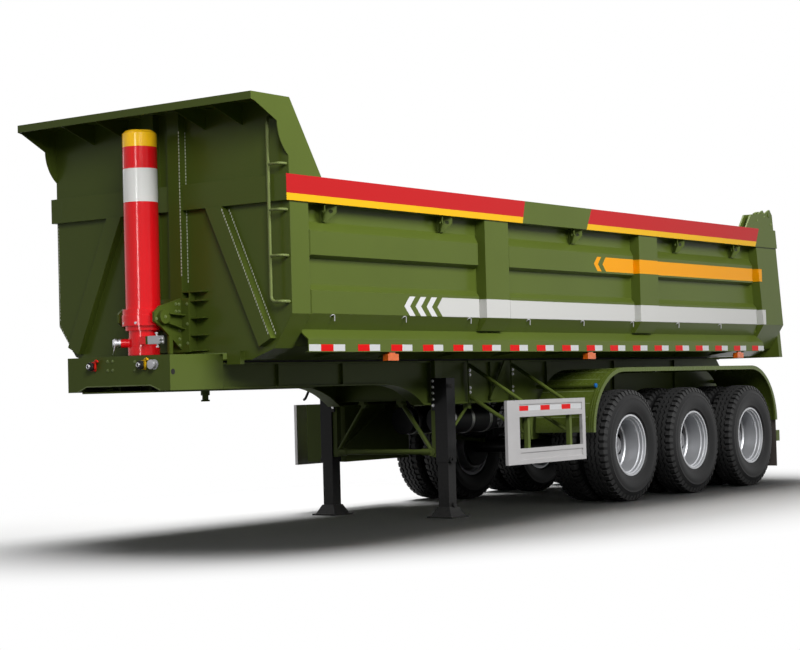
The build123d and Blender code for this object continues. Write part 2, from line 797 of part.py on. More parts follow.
stay_radius = 21.0
stay_reach = (arch_radius + stay_radius + bore_gap) * math.sqrt(0.5)
stay_under_z = arch_top_z - arch_plate - stay_radius - bore_gap
stay_end_y = arch_outer_y - bead_count * bead_pitch
mudguard_stays = (
    (arch_front_x + stay_reach, arch_low_z + stay_reach),
    (hanger_places[1][1], stay_under_z),
    (hanger_places[2][1], stay_under_z),
    (arch_rear_x - stay_reach, arch_low_z + stay_reach),
)
with BuildPart() as arch_stays:
    for place, height in mudguard_stays:
        bar_y(place, height, stay_radius, (beam_outer_y, stay_end_y))
    mirror(about=Plane.XZ)
arch_stays.part.label = "mudguard_stays"
export_step(arch_stays.part, "parts/mudguard_stays.step")

with BuildPart() as mud_flaps:
    flap_x = arch_rear_x - arch_radius
    block((flap_x - 4, flap_x + 5), (arch_inner_y + 20, arch_outer_y - 20), (180, arch_low_z))
    mirror(about=Plane.XZ)
mud_flaps.part.label = "mud_flaps"
export_step(mud_flaps.part, "parts/mud_flaps.step")

# Air tanks hung under two cross members.
tank_radius = 130.0
tank_y = 200.0
tank_z = 850.0
with BuildPart() as air_tanks:
    bar_x(tank_y, tank_z, tank_radius, (tank_front_x - tank_length, tank_front_x))
    for place in tank_places:
        block((place - 25, place + 25), (tank_y - 40, tank_y + 40), (tank_z, cross_low_z))
    mirror(about=Plane.XZ)
air_tanks.part.label = "air_tanks"
export_step(air_tanks.part, "parts/air_tanks.step")

# Tool box on the right side, behind the landing leg.
with BuildPart() as tool_box:
    block(tool_box_x, tool_box_y, tool_box_z)
    for place in (tool_box_x[0] + 180, tool_box_x[1] - 170):
        block(
            (place - 30, place + 30),
            (tool_box_y[1], -beam_edge_y),
            (beam_low_z - 15, tool_box_z[1]),
        )
tool_box.part.label = "tool_box"
export_step(tool_box.part, "parts/tool_box.step")

# Rear bumper with its drop plates and the lamp plate, and the tail lamps.
drop_x = beam_rear_x + 20
with BuildPart() as rear_bumper:
    block((beam_rear_x - 80, beam_rear_x), (-1150, 1150), (450, 570))
    block((beam_rear_x, beam_rear_x + 8), (-1000, 1000), (640, 760))
    for sign in (1, -1):
        block((beam_rear_x, drop_x), (sign * 415, sign * 535), (450, beam_low_z))
rear_bumper.part.label = "rear_bumper"
export_step(rear_bumper.part, "parts/rear_bumper.step")

with BuildPart() as tail_lamps:
    block((beam_rear_x - 35, beam_rear_x), (600, 950), (650, 750))
    mirror(about=Plane.XZ)
tail_lamps.part.label = "tail_lamps"
export_step(tail_lamps.part, "parts/tail_lamps.step")

# Tipping body: floor with its hinge lugs.
with BuildPart() as body_floor:
    front_plate(
        skin_outside[2:6] + skin_inside[2:6][::-1],
        (rear_end_x - 100, headboard_x - head_plate),
    )
    split(bisect_by=rear_plane, keep=Keep.BOTTOM)
    for sign in (1, -1):
        side_plate(
            (
                (hinge_x - 190, floor_z),
                (hinge_x + 190, floor_z),
                (hinge_x + 80, hinge_z - 30),
                (hinge_x + 30, hinge_z - 80),
                (hinge_x - 30, hinge_z - 80),
                (hinge_x - 80, hinge_z - 30),
            ),
            (sign * 300, sign * 360),
        )
        bar_y(hinge_x, hinge_z, hinge_radius + bore_gap, (sign * 299, sign * 361), Mode.SUBTRACT)
body_floor.part.label = "body_floor"
export_step(body_floor.part, "parts/body_floor.step")

# Side posts: front corner, two between, and the sloping rear post.
post_outside = (
    (post_y, rail_low_z),
    (post_y, post_knee_z),
    (1064.0, 1483.0),
    (837.0, floor_z),
    (837.0, floor_z + (837.0 - floor_half) * (bilge_z - floor_z) / (bilge_y - floor_half)),
    (bilge_y, bilge_z),
    (wall_y, wall_foot_z),
    (wall_y, rail_low_z),
)
post_foot_z = 1632.0
post_short = (
    (post_y, rail_low_z),
    (post_y, post_knee_z),
    (1172.0, post_foot_z),
    (bilge_edge(post_foot_z), post_foot_z),
    (wall_y, wall_foot_z),
    (wall_y, rail_low_z),
)
post_width = 370.0
front_post_x = headboard_x - 220.0
rear_post_length = 500.0
rear_post_x = rear_top_x + rear_post_length
wall_run = front_post_x - rear_post_x
post_places = [front_post_x - share * wall_run for share in (0.335, 0.686)]
rear_post_plane = Plane(
    origin=(rear_post_x, 0, rail_low_z),
    x_dir=(0, 1, 0),
    z_dir=(-1, 0, rear_slope),
)
with BuildPart() as rear_posts:
    front_plate(post_outside, (rear_end_x - 100, rear_post_x + 100))
    split(bisect_by=rear_plane, keep=Keep.BOTTOM)
    split(bisect_by=rear_post_plane, keep=Keep.TOP)
    mirror(about=Plane.XZ)
rear_posts.part.label = "rear_posts"
export_step(rear_posts.part, "parts/rear_posts.step")

with BuildPart() as side_posts:
    front_plate(post_outside, (front_post_x, headboard_x - head_plate))
    for place in post_places:
        front_plate(post_short, (place - post_width / 2, place + post_width / 2))
    mirror(about=Plane.XZ)
side_posts.part.label = "side_posts"
export_step(side_posts.part, "parts/side_posts.step")

# Side walls with two pressed ribs in each bay between the posts.
wall_height = rail_low_z - wall_foot_z
rib_rows = (
    # row, then foot, face bottom, face top and head as shares of the wall's height
    ("upper", 0.551, 0.578, 0.776, 0.860),
    ("lower", 0.0, 0.098, 0.288, 0.343),
)
rib_run = 50.0
rib_margin = 12.0
with BuildPart() as side_walls:
    front_plate(
        skin_outside[5:8] + skin_inside[5:8][::-1],
        (rear_end_x - 100, headboard_x - head_plate),
    )
    split(bisect_by=rear_plane, keep=Keep.BOTTOM)
    for row, *shares in rib_rows:
        base_low, face_low, face_high, base_high = [wall_foot_z + share * wall_height for share in shares]
        rib_bays = (
            (front_post_x, post_places[0] + post_width / 2),
            (post_places[0] - post_width / 2, post_places[1] + post_width / 2),
            (post_places[1] - post_width / 2, rear_x(base_high) + rear_post_length),
        )
        for bay_front, bay_rear in rib_bays:
            start = bay_front - rib_margin
            end = bay_rear + rib_margin
            with BuildSketch(Plane.XZ.offset(-wall_y)) as rib_base:
                with Locations(((start + end) / 2, (base_low + base_high) / 2)):
                    Rectangle(start - end, base_high - base_low)
            with BuildSketch(Plane.XZ.offset(-rib_y)) as rib_face:
                with Locations(((start + end) / 2, (face_low + face_high) / 2)):
                    Rectangle(start - end - 2 * rib_run, face_high - face_low)
            loft(sections=[rib_base.sketch, rib_face.sketch])
    mirror(about=Plane.XZ)
side_walls.part.label = "side_walls"
export_step(side_walls.part, "parts/side_walls.step")

# Top rails with the plates and pins that carry the tailgate.
belt_depth = 50.0
with BuildPart() as top_rails:
    block((rear_end_x, headboard_x + belt_depth), (wall_y, rail_y), (rail_low_z, rail_top_z))
    split(bisect_by=rear_plane, keep=Keep.BOTTOM)
    for near, far in ((wall_y, wall_y + 20), (rail_y - 35, rail_y - 15)):
        side_plate(
            (
                (tailgate_pin_x + 565, rail_top_z),
                (tailgate_pin_x + 435, rail_top_z + 150),
                (tailgate_pin_x + 85, rail_top_z + 180),
                (tailgate_pin_x - 30, tailgate_pin_z + 60),
                (tailgate_pin_x - 90, tailgate_pin_z),
                (tailgate_pin_x - 115, rail_top_z),
            ),
            (near, far),
        )
    bar_y(tailgate_pin_x, tailgate_pin_z, tailgate_pin_radius, (1070, rail_y - 8))
    mirror(about=Plane.XZ)
top_rails.part.label = "top_rails"
export_step(top_rails.part, "parts/top_rails.step")

# Headboard: front wall with belt, columns, diagonal braces and the lower corner slopes.
guard_side_y = 1244.0
column_y = (73.0, 199.0)
column_depth = 70.0
notch_y = box_half_width + 57.0
notch_z = box_top_z + 10.0
lip_y = notch_y + 168.0
guide_y = (notch_y + 32.0, notch_y + 165.0)
guide_low_z = 1372.0
brace_depth = 65.0
slant_top_y = (455.0, 615.0)
slant_outer = (1088.0, 1560.0)
slant_inner = (968.0, 1500.0)
with BuildPart() as headboard:
    right_half = (
        (notch_y, notch_z),
        (notch_y, floor_z),
        (837.0, floor_z),
        (1064.0, 1483.0),
        (post_y, post_knee_z),
        (post_y, rail_low_z),
        (wall_y, rail_low_z),
        (wall_y, rail_top_z),
        (guard_side_y, rail_top_z),
        (guard_side_y, guard_top_z - guard_plate),
    )
    other_half = tuple((-y, z) for y, z in reversed(right_half))
    front_plate(right_half + other_half, (headboard_x - head_plate, headboard_x))
    block(
        (headboard_x, headboard_x + belt_depth),
        (-wall_y, wall_y),
        (rail_low_z, rail_top_z),
    )
    for sign in (1, -1):
        block(
            (headboard_x, headboard_x + column_depth),
            (sign * column_y[0], sign * column_y[1]),
            (notch_z, guard_top_z - guard_plate),
        )
        front_plate(
            (
                (sign * slant_top_y[0], rail_low_z),
                (sign * slant_top_y[1], rail_low_z),
                (sign * slant_outer[0], slant_outer[1]),
                (sign * slant_inner[0], slant_inner[1]),
            ),
            (headboard_x, headboard_x + brace_depth),
        )
        block(
            (headboard_x, headboard_x + belt_depth),
            (sign * guide_y[0], sign * guide_y[1]),
            (guide_low_z, notch_z),
        )
    block((headboard_x, headboard_x + belt_depth), (-lip_y, lip_y), (notch_z, notch_z + 10))
headboard.part.label = "headboard"
export_step(headboard.part, "parts/headboard.step")

# Cab guard: roof plate with a front lip, ribs under it, and curved side gussets.
lip_height = 59.0
guard_rise = guard_top_z - rail_top_z
gusset_low_z = rail_top_z + 0.24 * guard_rise
gusset_bend = (headboard_x + 124.0, rail_top_z + 0.667 * guard_rise)
gusset_chord = math.hypot(gusset_bend[0] - headboard_x, gusset_bend[1] - gusset_low_z)
gusset_radius = 1.155 * gusset_chord
with BuildPart() as cab_guard:
    block(
        (headboard_x - 26, guard_front_x),
        (-guard_side_y, guard_side_y),
        (guard_top_z - guard_plate, guard_top_z),
    )
    block(
        (guard_front_x - guard_plate, guard_front_x),
        (-guard_side_y, guard_side_y),
        (guard_top_z - lip_height, guard_top_z),
    )
    for place in (-800.0, -420.0, 420.0, 800.0):
        side_plate(
            (
                (headboard_x, guard_top_z - guard_plate),
                (headboard_x, guard_top_z - 170),
                (guard_front_x - 60, guard_top_z - 50),
                (guard_front_x - 10, guard_top_z - guard_plate),
            ),
            (place - 4, place + 4),
        )
    for near in (guard_side_y + guard_plate, -guard_side_y):
        with BuildSketch(Plane.XZ.offset(-near)) as gusset:
            with BuildLine():
                Polyline(
                    (headboard_x, gusset_low_z),
                    (headboard_x, rail_top_z),
                    (headboard_x - 393, rail_top_z),
                    (headboard_x - 26, guard_top_z),
                    (guard_front_x, guard_top_z),
                    (guard_front_x, guard_top_z - lip_height),
                    (guard_front_x - 43, guard_top_z - lip_height - 9),
                    gusset_bend,
                )
                RadiusArc(gusset_bend, (headboard_x, gusset_low_z), gusset_radius)
            make_face()
        extrude(gusset.sketch, amount=guard_plate)
cab_guard.part.label = "cab_guard"
export_step(cab_guard.part, "parts/cab_guard.step")

# Ladder at the left front corner.
ladder_radius = 13.0
rung_radius = 11.0
ladder_bend = 45.0
ladder_x = headboard_x + belt_depth + 25.0
stile_y = 1110.0
rung_end_y = 1225.0
ladder_top_z = guard_top_z - 142.0
ladder_low_z = post_knee_z + 90.0
rung_count = 4
rung_pitch = (guard_top_z - 503.0 - ladder_low_z) / (rung_count - 1)


def bent_tube(points, radius):
    """A round tube along a line of points with equal bends."""
    with BuildLine() as route:
        FilletPolyline(*points, radius=ladder_bend)
    with BuildSketch(route.line ^ 0) as section:
        Circle(radius)
    sweep(section.sketch, path=route.line)


with BuildPart() as ladder:
    bent_tube(
        (
            (headboard_x, stile_y, ladder_top_z),
            (ladder_x, stile_y, ladder_top_z),
            (ladder_x, stile_y, ladder_low_z),
            (ladder_x, rung_end_y, ladder_low_z),
            (headboard_x, rung_end_y, ladder_low_z),
        ),
        ladder_radius,
    )
    for i in range(1, rung_count):
        height = ladder_low_z + rung_pitch * i
        bent_tube(
            (
                (ladder_x, stile_y, height),
                (ladder_x, rung_end_y, height),
                (headboard_x, rung_end_y, height),
            ),
            rung_radius,
        )
ladder.part.label = "ladder"
export_step(ladder.part, "parts/ladder.step")

# Brackets for the load cover, in a row under each top rail: two spread leaves on a foot.
bracket_shares = (0.0367, 0.240, 0.515, 0.777, 0.941)
leaf_turn = math.radians(38.0)
leaf_reach = 118.0
leaf_drop = 130.0
leaf_sheet = 8.0
leaf_hole = 16.0
leaf_foot = 12.0
leaf_outline = (
    (leaf_foot, 0.0),
    (leaf_reach, 0.0),
    (leaf_reach, -60.0),
    (45.0, -leaf_drop),
    (leaf_foot, -leaf_drop),
)
with BuildPart() as cover_brackets:
    for share in bracket_shares:
        place = front_post_x - share * wall_run
        block((place - 22, place + 22), (wall_y, wall_y + leaf_foot), (rail_low_z - leaf_drop, rail_low_z))
        for lean in (1, -1):
            leaf_plane = Plane(
                origin=(place, wall_y, rail_low_z),
                x_dir=(lean * math.sin(leaf_turn), math.cos(leaf_turn), 0),
                z_dir=(math.cos(leaf_turn), -lean * math.sin(leaf_turn), 0),
            )
            with BuildSketch(leaf_plane) as leaf_shape:
                with BuildLine():
                    Polyline(*leaf_outline, close=True)
                make_face()
                with Locations((0.62 * leaf_reach, -50.0)):
                    Circle(leaf_hole, mode=Mode.SUBTRACT)
            extrude(leaf_shape.sketch, amount=leaf_sheet / 2, both=True)
    mirror(about=Plane.XZ)
cover_brackets.part.label = "cover_brackets"
export_step(cover_brackets.part, "parts/cover_brackets.step")

# Aprons along both sides, bent from one sheet, with the bearers that hold them to the floor.
apron_top_z = 1627.0
apron_y = 1220.0
apron_bend_z = 1550.0
apron_low_z = 1450.0
apron_sheet = 6.0
bearer_count = 9
bearer_front_x = front_post_x - 520.0
bearer_pitch = (bearer_front_x - rear_post_x - 427.0) / (bearer_count - 1)
with BuildPart() as aprons:
    front_plate(
        (
            (bilge_edge(apron_top_z), apron_top_z),
            (apron_y, apron_bend_z),
            (apron_y, apron_low_z),
            (apron_y - 30, apron_low_z),
            (apron_y - 30, apron_low_z + apron_sheet),
            (apron_y - apron_sheet, apron_low_z + apron_sheet),
            (apron_y - apron_sheet, apron_bend_z - 4),
            (bilge_edge(apron_top_z - 8), apron_top_z - 8),
        ),
        (rear_x(apron_top_z) + rear_post_length - 200, front_post_x),
    )
    split(bisect_by=rear_post_plane, keep=Keep.BOTTOM)
    for i in range(bearer_count):
        place = bearer_front_x - bearer_pitch * i
        front_plate(
            (
                (floor_half + 20, floor_z + 20 * (bilge_z - floor_z) / (bilge_y - floor_half)),
                (bilge_y, bilge_z),
                (bilge_edge(apron_top_z - 8), apron_top_z - 8),
                (apron_y - apron_sheet, apron_bend_z - 4),
                (apron_y - apron_sheet, apron_low_z + apron_sheet),
                (apron_y - 30, apron_low_z + apron_sheet),
            ),
            (place - 5, place + 5),
        )
    mirror(about=Plane.XZ)
aprons.part.label = "side_aprons"
export_step(aprons.part, "parts/side_aprons.step")

# Marker lamps under the aprons.
marker_ends = (front_post_x - 1083.0, rear_post_x + 399.0)
marker_places = (marker_ends[0], sum(marker_ends) / 2, marker_ends[1])
marker_half = 72.0
marker_drop = 16.0
marker_height = 54.0
with BuildPart() as marker_lamps:
    for place in marker_places:
        block(
            (place - marker_half, place + marker_half),
            (apron_y - 55, apron_y - 2),
            (apron_low_z - marker_drop - marker_height, apron_low_z - marker_drop),
        )
        block((place - 40, place + 40), (apron_y - 30, apron_y - 12), (apron_low_z - marker_drop, apron_low_z))
    mirror(about=Plane.XZ)
marker_lamps.part.label = "marker_lamps"
export_step(marker_lamps.part, "parts/marker_lamps.step")

# Bracket on the headboard columns that takes the trunnion of the cylinder.
bracket_x = headboard_x + column_depth
bracket_plate = 15.0
ear_y = (178.0, 200.0)
shelf_heights = (1485.0, 1606.0, 1739.0, 1873.0, 1944.0)
with BuildPart() as cylinder_bracket:
    block((bracket_x, bracket_x + bracket_plate), (-280, 280), (1480, 1900))
    for sign in (1, -1):
        for height in shelf_heights:
            block((headboard_x, bracket_x), (sign * column_y[1], sign * 410), (height, height + 10))
        block((headboard_x, bracket_x), (sign * 270, sign * 280), (1480, 1945))
        side_plate(
            (
                (bracket_x + bracket_plate, 1500),
                (cylinder_x, trunnion_z - 85),
                (cylinder_x + 85, trunnion_z - 35),
                (cylinder_x + 85, trunnion_z + 35),
                (cylinder_x + 20, trunnion_z + 85),
                (bracket_x + bracket_plate, 1900),
            ),
            (sign * ear_y[0], sign * ear_y[1]),
        )
        bar_y(cylinder_x, trunnion_z, 55.0, (sign * ear_y[1], sign * (ear_y[1] + 35)))
        for low, high in ((1655.0, 1700.0), (1765.0, 1775.0)):
            side_plate(
                (
                    (bracket_x + bracket_plate, low),
                    (cylinder_x - 40, high),
                    (cylinder_x - 40, high + 10),
                    (bracket_x + bracket_plate, low + 10),
                ),
                (sign * ear_y[1], sign * (ear_y[1] + 45)),
            )
        block(
            (cylinder_x - 115, cylinder_x - 75),
            (sign * ear_y[0], sign * ear_y[1]),
            (box_top_z + 14, 1640),
        )
cylinder_bracket.part.label = "cylinder_bracket"
export_step(cylinder_bracket.part, "parts/cylinder_bracket.step")

# Telescopic cylinder: foot tube, four middle stages, and the cover with the innermost rod.
stage_low_z = cylinder_foot_z + 55.0
stage_radius = [base_radius - 1.5 - stage_step * (i + 1) for i in range(stage_count + 1)]
with BuildPart() as cylinder_base:
    bar_z(cylinder_x, 0, base_radius, (cylinder_foot_z - 45, cover_top_z - 50))
    bar_y(
        cylinder_x,
        cylinder_foot_z,
        foot_pin_radius,
        (-well_half - cheek_plate, well_half + cheek_plate),
    )
    bar_z(cylinder_x, 0, base_radius + 8, (box_top_z + 8, box_top_z + 75))
    rod((cylinder_x + 70, -70, 1560), (cylinder_x + 125, -125, 1560), 34.0)
    rod((cylinder_x + 125, -125, 1560), (cylinder_x + 165, -165, 1560), 26.0)
    rod((cylinder_x + 70, 70, 1575), (cylinder_x + 108, 108, 1575), 24.0)
    block((cylinder_x + 80, cylinder_x + 136), (85, 205), (1545, 1605))
    bar_z(cylinder_x, 0, stage_radius[0] + stage_gap, (stage_low_z - 5, cover_top_z), Mode.SUBTRACT)
cylinder_base.part.label = "cylinder_base"
export_step(cylinder_base.part, "parts/cylinder_base.step")

for i in range(stage_count):
    with BuildPart() as stage:
        top_z = cover_top_z - 45 + 5 * i
        bar_z(cylinder_x, 0, stage_radius[i], (stage_low_z + 5 * i, top_z))
        bar_z(
            cylinder_x,
            0,
            stage_radius[i + 1] + stage_gap,
            (stage_low_z + 5 * i, top_z),
            Mode.SUBTRACT,
        )
    stage.part.label = f"cylinder_stage_{i + 1}"
    export_step(stage.part, f"parts/cylinder_stage_{i + 1}.step")

ring_steps = ((140.0, cover_low_z, 1690.0), (166.0, 1690.0, 1775.0), (160.0, 1775.0, 1820.0))
with BuildPart() as cylinder_cover:
    bar_z(cylinder_x, 0, cover_radius, (cover_low_z, cover_top_z))
    for radius, low, high in ring_steps:
        bar_z(cylinder_x, 0, radius, (low, high))
    bar_y(cylinder_x, trunnion_z, 60.0, (-172, 172))
    bar_z(cylinder_x, 0, cover_radius - 8, (cover_low_z, cover_top_z), Mode.SUBTRACT)
    with BuildSketch(Plane.XY.offset(cover_top_z)) as cap_base:
        with Locations((cylinder_x, 0)):
            Circle(cover_radius)
    extrude(cap_base.sketch, amount=cap_height)
    chamfer(cylinder_cover.edges().group_by(Axis.Z)[-1], 25)
    bar_z(cylinder_x, 0, stage_radius[stage_count], (stage_low_z + 25, cover_top_z))
cylinder_cover.part.label = "cylinder_cover"
export_step(cylinder_cover.part, "parts/cylinder_cover.step")

# Tailgate: sloping panel with ribs, hung from two arms at the top.
rib_face = tailgate_gap + tailgate_panel


def tailgate_strip(start, end, low, high, y):
    """A sloping bar of the tailgate between two depths, two heights and two places across."""
    side_plate(
        (
            (rear_x(low) - start, low),
            (rear_x(low) - end, low),
            (rear_x(high) - end, high),
            (rear_x(high) - start, high),
        ),
        y,
    )


with BuildPart() as tailgate:
    full = (-tailgate_half, tailgate_half)
    tailgate_strip(tailgate_gap, rib_face, tailgate_low_z, tailgate_top_z, full)
    tailgate_strip(rib_face, tailgate_depth, tailgate_low_z, tailgate_low_z + 120, full)
    tailgate_strip(rib_face, tailgate_depth, tailgate_top_z - 120, tailgate_top_z, full)
    for place in (-1110.0, -380.0, 380.0, 1110.0):
        tailgate_strip(
            rib_face,
            tailgate_depth,
            tailgate_low_z,
            tailgate_top_z,
            (place - 50, place + 50),
        )
    for sign in (1, -1):
        side_plate(
            (
                (rear_x(tailgate_top_z) - tailgate_gap - 40, tailgate_top_z - 160),
                (rear_x(tailgate_top_z) - tailgate_gap - 5, tailgate_top_z),
                (tailgate_pin_x + 50, tailgate_pin_z - 30),
                (tailgate_pin_x + 50, tailgate_pin_z + 30),
                (tailgate_pin_x - 20, tailgate_pin_z + 50),
                (rear_x(tailgate_top_z) - tailgate_depth, tailgate_top_z),
            ),
            (sign * 1085, sign * 1125),
        )
        bar_y(
            tailgate_pin_x,
            tailgate_pin_z,
            tailgate_pin_radius + bore_gap,
            (sign * 1084, sign * 1126),
            Mode.SUBTRACT,
        )
tailgate.part.label = "tailgate"
export_step(tailgate.part, "parts/tailgate.step")
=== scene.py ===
# %% [markdown]
# # Dressing a tipping semi-trailer
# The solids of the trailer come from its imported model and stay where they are. This lesson gives them
# paint, rubber and metal, and adds the small things that a solid model leaves out: tread, nuts, tape,
# hooks and couplings. Everything is in metres: +X is the coupling end, +Y the left side, +Z up.

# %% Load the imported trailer
import json
import math

import bmesh
import bpy
from mathutils import Matrix, Vector


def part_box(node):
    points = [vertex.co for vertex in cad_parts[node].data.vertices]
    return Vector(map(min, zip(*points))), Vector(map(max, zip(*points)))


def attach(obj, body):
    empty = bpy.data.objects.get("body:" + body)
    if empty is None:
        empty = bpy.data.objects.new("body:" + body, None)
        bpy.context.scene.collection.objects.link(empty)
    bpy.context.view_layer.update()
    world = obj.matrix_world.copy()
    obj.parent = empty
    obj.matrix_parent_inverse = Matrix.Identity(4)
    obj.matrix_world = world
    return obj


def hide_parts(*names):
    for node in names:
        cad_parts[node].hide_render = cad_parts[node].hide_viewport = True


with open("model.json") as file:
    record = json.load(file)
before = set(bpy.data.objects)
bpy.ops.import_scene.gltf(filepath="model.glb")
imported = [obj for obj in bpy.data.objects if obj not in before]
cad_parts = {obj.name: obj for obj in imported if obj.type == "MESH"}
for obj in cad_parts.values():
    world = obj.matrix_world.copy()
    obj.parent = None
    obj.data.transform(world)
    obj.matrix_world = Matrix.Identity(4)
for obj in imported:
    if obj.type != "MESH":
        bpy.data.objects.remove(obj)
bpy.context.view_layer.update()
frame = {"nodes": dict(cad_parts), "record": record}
nodes = frame["nodes"]
SIDES = (("left", 1), ("right", -1))
AXLES = ("front", "middle", "rear")

# %% [markdown]
# ## Camera
# The photographer stood at the left front corner, about as high as the trailer's frame, with a long lens.
# A camera in Blender looks along its own -Z, so the script turns a forward and an up direction into a
# rotation. The lens is written in pixels of an 800 pixel wide picture and then turned into millimetres.

# %% Camera at the photographer's place
PICTURE_WIDTH = 800
SENSOR_WIDTH = 36
CAMERA_PLACE = Vector((14.892, 10.222, 1.172))
CAMERA_YAW = math.radians(-143.694)
CAMERA_PITCH = math.radians(1.867)
CAMERA_ROLL = math.radians(-1.534)
LENS_PIXELS = 1876.9
CLIP_END = 500

forward = Vector((
    math.cos(CAMERA_YAW) * math.cos(CAMERA_PITCH),
    math.sin(CAMERA_YAW) * math.cos(CAMERA_PITCH),
    math.sin(CAMERA_PITCH),
))
level_right = forward.cross(Vector((0, 0, 1))).normalized()
level_up = level_right.cross(forward)
right = math.cos(CAMERA_ROLL) * level_right + math.sin(CAMERA_ROLL) * level_up
up = math.cos(CAMERA_ROLL) * level_up - math.sin(CAMERA_ROLL) * level_right
camera_turn = Matrix((right, up, -forward)).transposed().to_4x4()
camera_data = bpy.data.cameras.new("camera")
camera_data.sensor_width = SENSOR_WIDTH
camera_data.lens = LENS_PIXELS / PICTURE_WIDTH * SENSOR_WIDTH
camera_data.clip_end = CLIP_END
camera = bpy.data.objects.new("camera", camera_data)
camera.matrix_world = Matrix.Translation(CAMERA_PLACE) @ camera_turn
bpy.context.scene.collection.objects.link(camera)
bpy.context.scene.camera = camera
print("lens", round(camera_data.lens, 1), "mm")

# %% [markdown]
# ## Light and floor
# A trailer is photographed in a large white studio: soft light from above and from both sides, and a floor
# so pale that it runs into the background. Rays that come from the camera, or mirror off gloss, see plain
# white beyond the trailer and a pale floor under it. All other rays meet a dim world and a darker floor, so
# the frame and the wheels stay as dark underneath as they are in the photo. The key lights the left side
# evenly, a weaker lamp the front, and a weak fill the far side. Light linking keeps these off the floor,
# which only the top lamp lights, so the shadow lies under the trailer. A tall strip lamp, linked to the
# cylinder alone, draws the bright line on it.

# %% Node tools
def feed(tree, node, inputs):
    """Feeds a node's inputs: a socket is linked, anything else becomes the plain value."""
    for key, value in inputs.items():
        if isinstance(value, bpy.types.NodeSocket):
            tree.links.new(value, node.inputs[key])
        else:
            node.inputs[key].default_value = value


def add_node(tree, kind, inputs=None, **settings):
    """Adds a node to a tree, sets its plain properties and feeds its inputs."""
    made = tree.nodes.new(kind)
    for name, value in settings.items():
        setattr(made, name, value)
    feed(tree, made, inputs or {})
    return made


def calc(tree, operation, *values, clamp=False):
    """The result of a math node; each value is a number or a socket."""
    made = add_node(tree, "ShaderNodeMath", dict(enumerate(values)), operation=operation, use_clamp=clamp)
    return made.outputs[0]


def vector_calc(tree, operation, inputs):
    """The outputs of a vector math node."""
    return add_node(tree, "ShaderNodeVectorMath", inputs, operation=operation).outputs


def mix_colour(tree, share, first, second):
    """Two colours mixed by a share; each is a value or a socket."""
    inputs = {0: share, 6: first, 7: second}
    return add_node(tree, "ShaderNodeMix", inputs, data_type="RGBA").outputs[2]


def mix_shaders(tree, share, first, second):
    """Two shaders mixed by a share."""
    inputs = {0: share, 1: first.outputs[0], 2: second.outputs[0]}
    return add_node(tree, "ShaderNodeMixShader", inputs).outputs[0]


def seen_rays(tree):
    """1 for rays that come from the camera, from gloss or through glass, 0 for all others."""
    path = add_node(tree, "ShaderNodeLightPath").outputs
    either = calc(tree, "MAXIMUM", path["Is Camera Ray"], path["Is Glossy Ray"])
    return calc(tree, "MAXIMUM", either, path["Is Transmission Ray"])


# %% World and lamps
WHITE = (1, 1, 1, 1)
WORLD_LIGHT = 0.03
LAMPS = (
    # name, place, aimed at, width, height, watts
    ("key", (2.0, 12.0, 9.0), (-0.8, 0.0, 1.8), 6.0, 6.0, 1650),
    ("front", (10.5, 7.5, 6.5), (4.0, 0.0, 2.2), 4.0, 4.0, 480),
    ("fill", (0.0, -12.0, 8.0), (0.0, 0.0, 1.6), 8.0, 8.0, 450),
    ("top", (-0.5, -3.0, 12.0), (0.0, 0.0, 0.0), 7.0, 7.0, 1750),
    ("strip", (13.7, 2.9, 2.4), (4.4, 0.0, 2.4), 1.0, 5.0, 430),
)
bpy.context.scene.view_settings.view_transform = "Standard"
world = bpy.data.worlds.new("studio")
bpy.context.scene.world = world
world.use_nodes = True
sky = world.node_tree
sky.nodes.clear()
soft = add_node(sky, "ShaderNodeBackground", {"Color": WHITE, "Strength": WORLD_LIGHT})
white = add_node(sky, "ShaderNodeBackground", {"Color": WHITE, "Strength": 1.0})
add_node(sky, "ShaderNodeOutputWorld", {0: mix_shaders(sky, seen_rays(sky), soft, white)})

lamp_holders = {}
for name, place, aim, width, height, watts in LAMPS:
    lamp = bpy.data.lights.new("lamp_" + name, "AREA")
    lamp.shape = "RECTANGLE"
    lamp.size = width
    lamp.size_y = height
    lamp.energy = watts
    holder = bpy.data.objects.new("lamp_" + name, lamp)
    holder.location = place
    holder.rotation_euler = (Vector(aim) - Vector(place)).to_track_quat("-Z", "Y").to_euler()
    holder.visible_camera = False
    bpy.context.scene.collection.objects.link(holder)
    lamp_holders[name] = holder
print("lamps", list(lamp_holders))

# %% Floor, and what each lamp may light
FLOOR_HALF = 150.0
FLOOR_Z = -0.001
FADE_FROM = 4.5
FADE_TO = 7.5
FADE_SHAPE = (1.0, 1.7, 1.0)
FLOOR_SEEN = (0.95, 0.95, 0.95, 1)
FLOOR_BOUNCE = (0.15, 0.15, 0.15, 1)
NOT_ON_FLOOR = ("key", "front", "fill")
ON_CYLINDER = "strip"

floor_mesh = bpy.data.meshes.new("floor")
corners = [(FLOOR_HALF * x, FLOOR_HALF * y, FLOOR_Z) for x, y in ((-1, -1), (1, -1), (1, 1), (-1, 1))]
floor_mesh.from_pydata(corners, [], [(0, 1, 2, 3)])
floor = bpy.data.objects.new("floor", floor_mesh)
bpy.context.scene.collection.objects.link(floor)
floor_paint = bpy.data.materials.new("studio_floor")
floor_paint.use_nodes = True
floor_tree = floor_paint.node_tree
floor_bsdf = floor_tree.nodes["Principled BSDF"]
floor_seen = seen_rays(floor_tree)
feed(floor_tree, floor_bsdf, {
    "Base Color": mix_colour(floor_tree, floor_seen, FLOOR_BOUNCE, FLOOR_SEEN),
    "Roughness": 0.9,
    "Specular IOR Level": 0.1,
})
spot = add_node(floor_tree, "ShaderNodeTexCoord").outputs["Object"]
oval = vector_calc(floor_tree, "MULTIPLY", {0: spot, 1: FADE_SHAPE})[0]
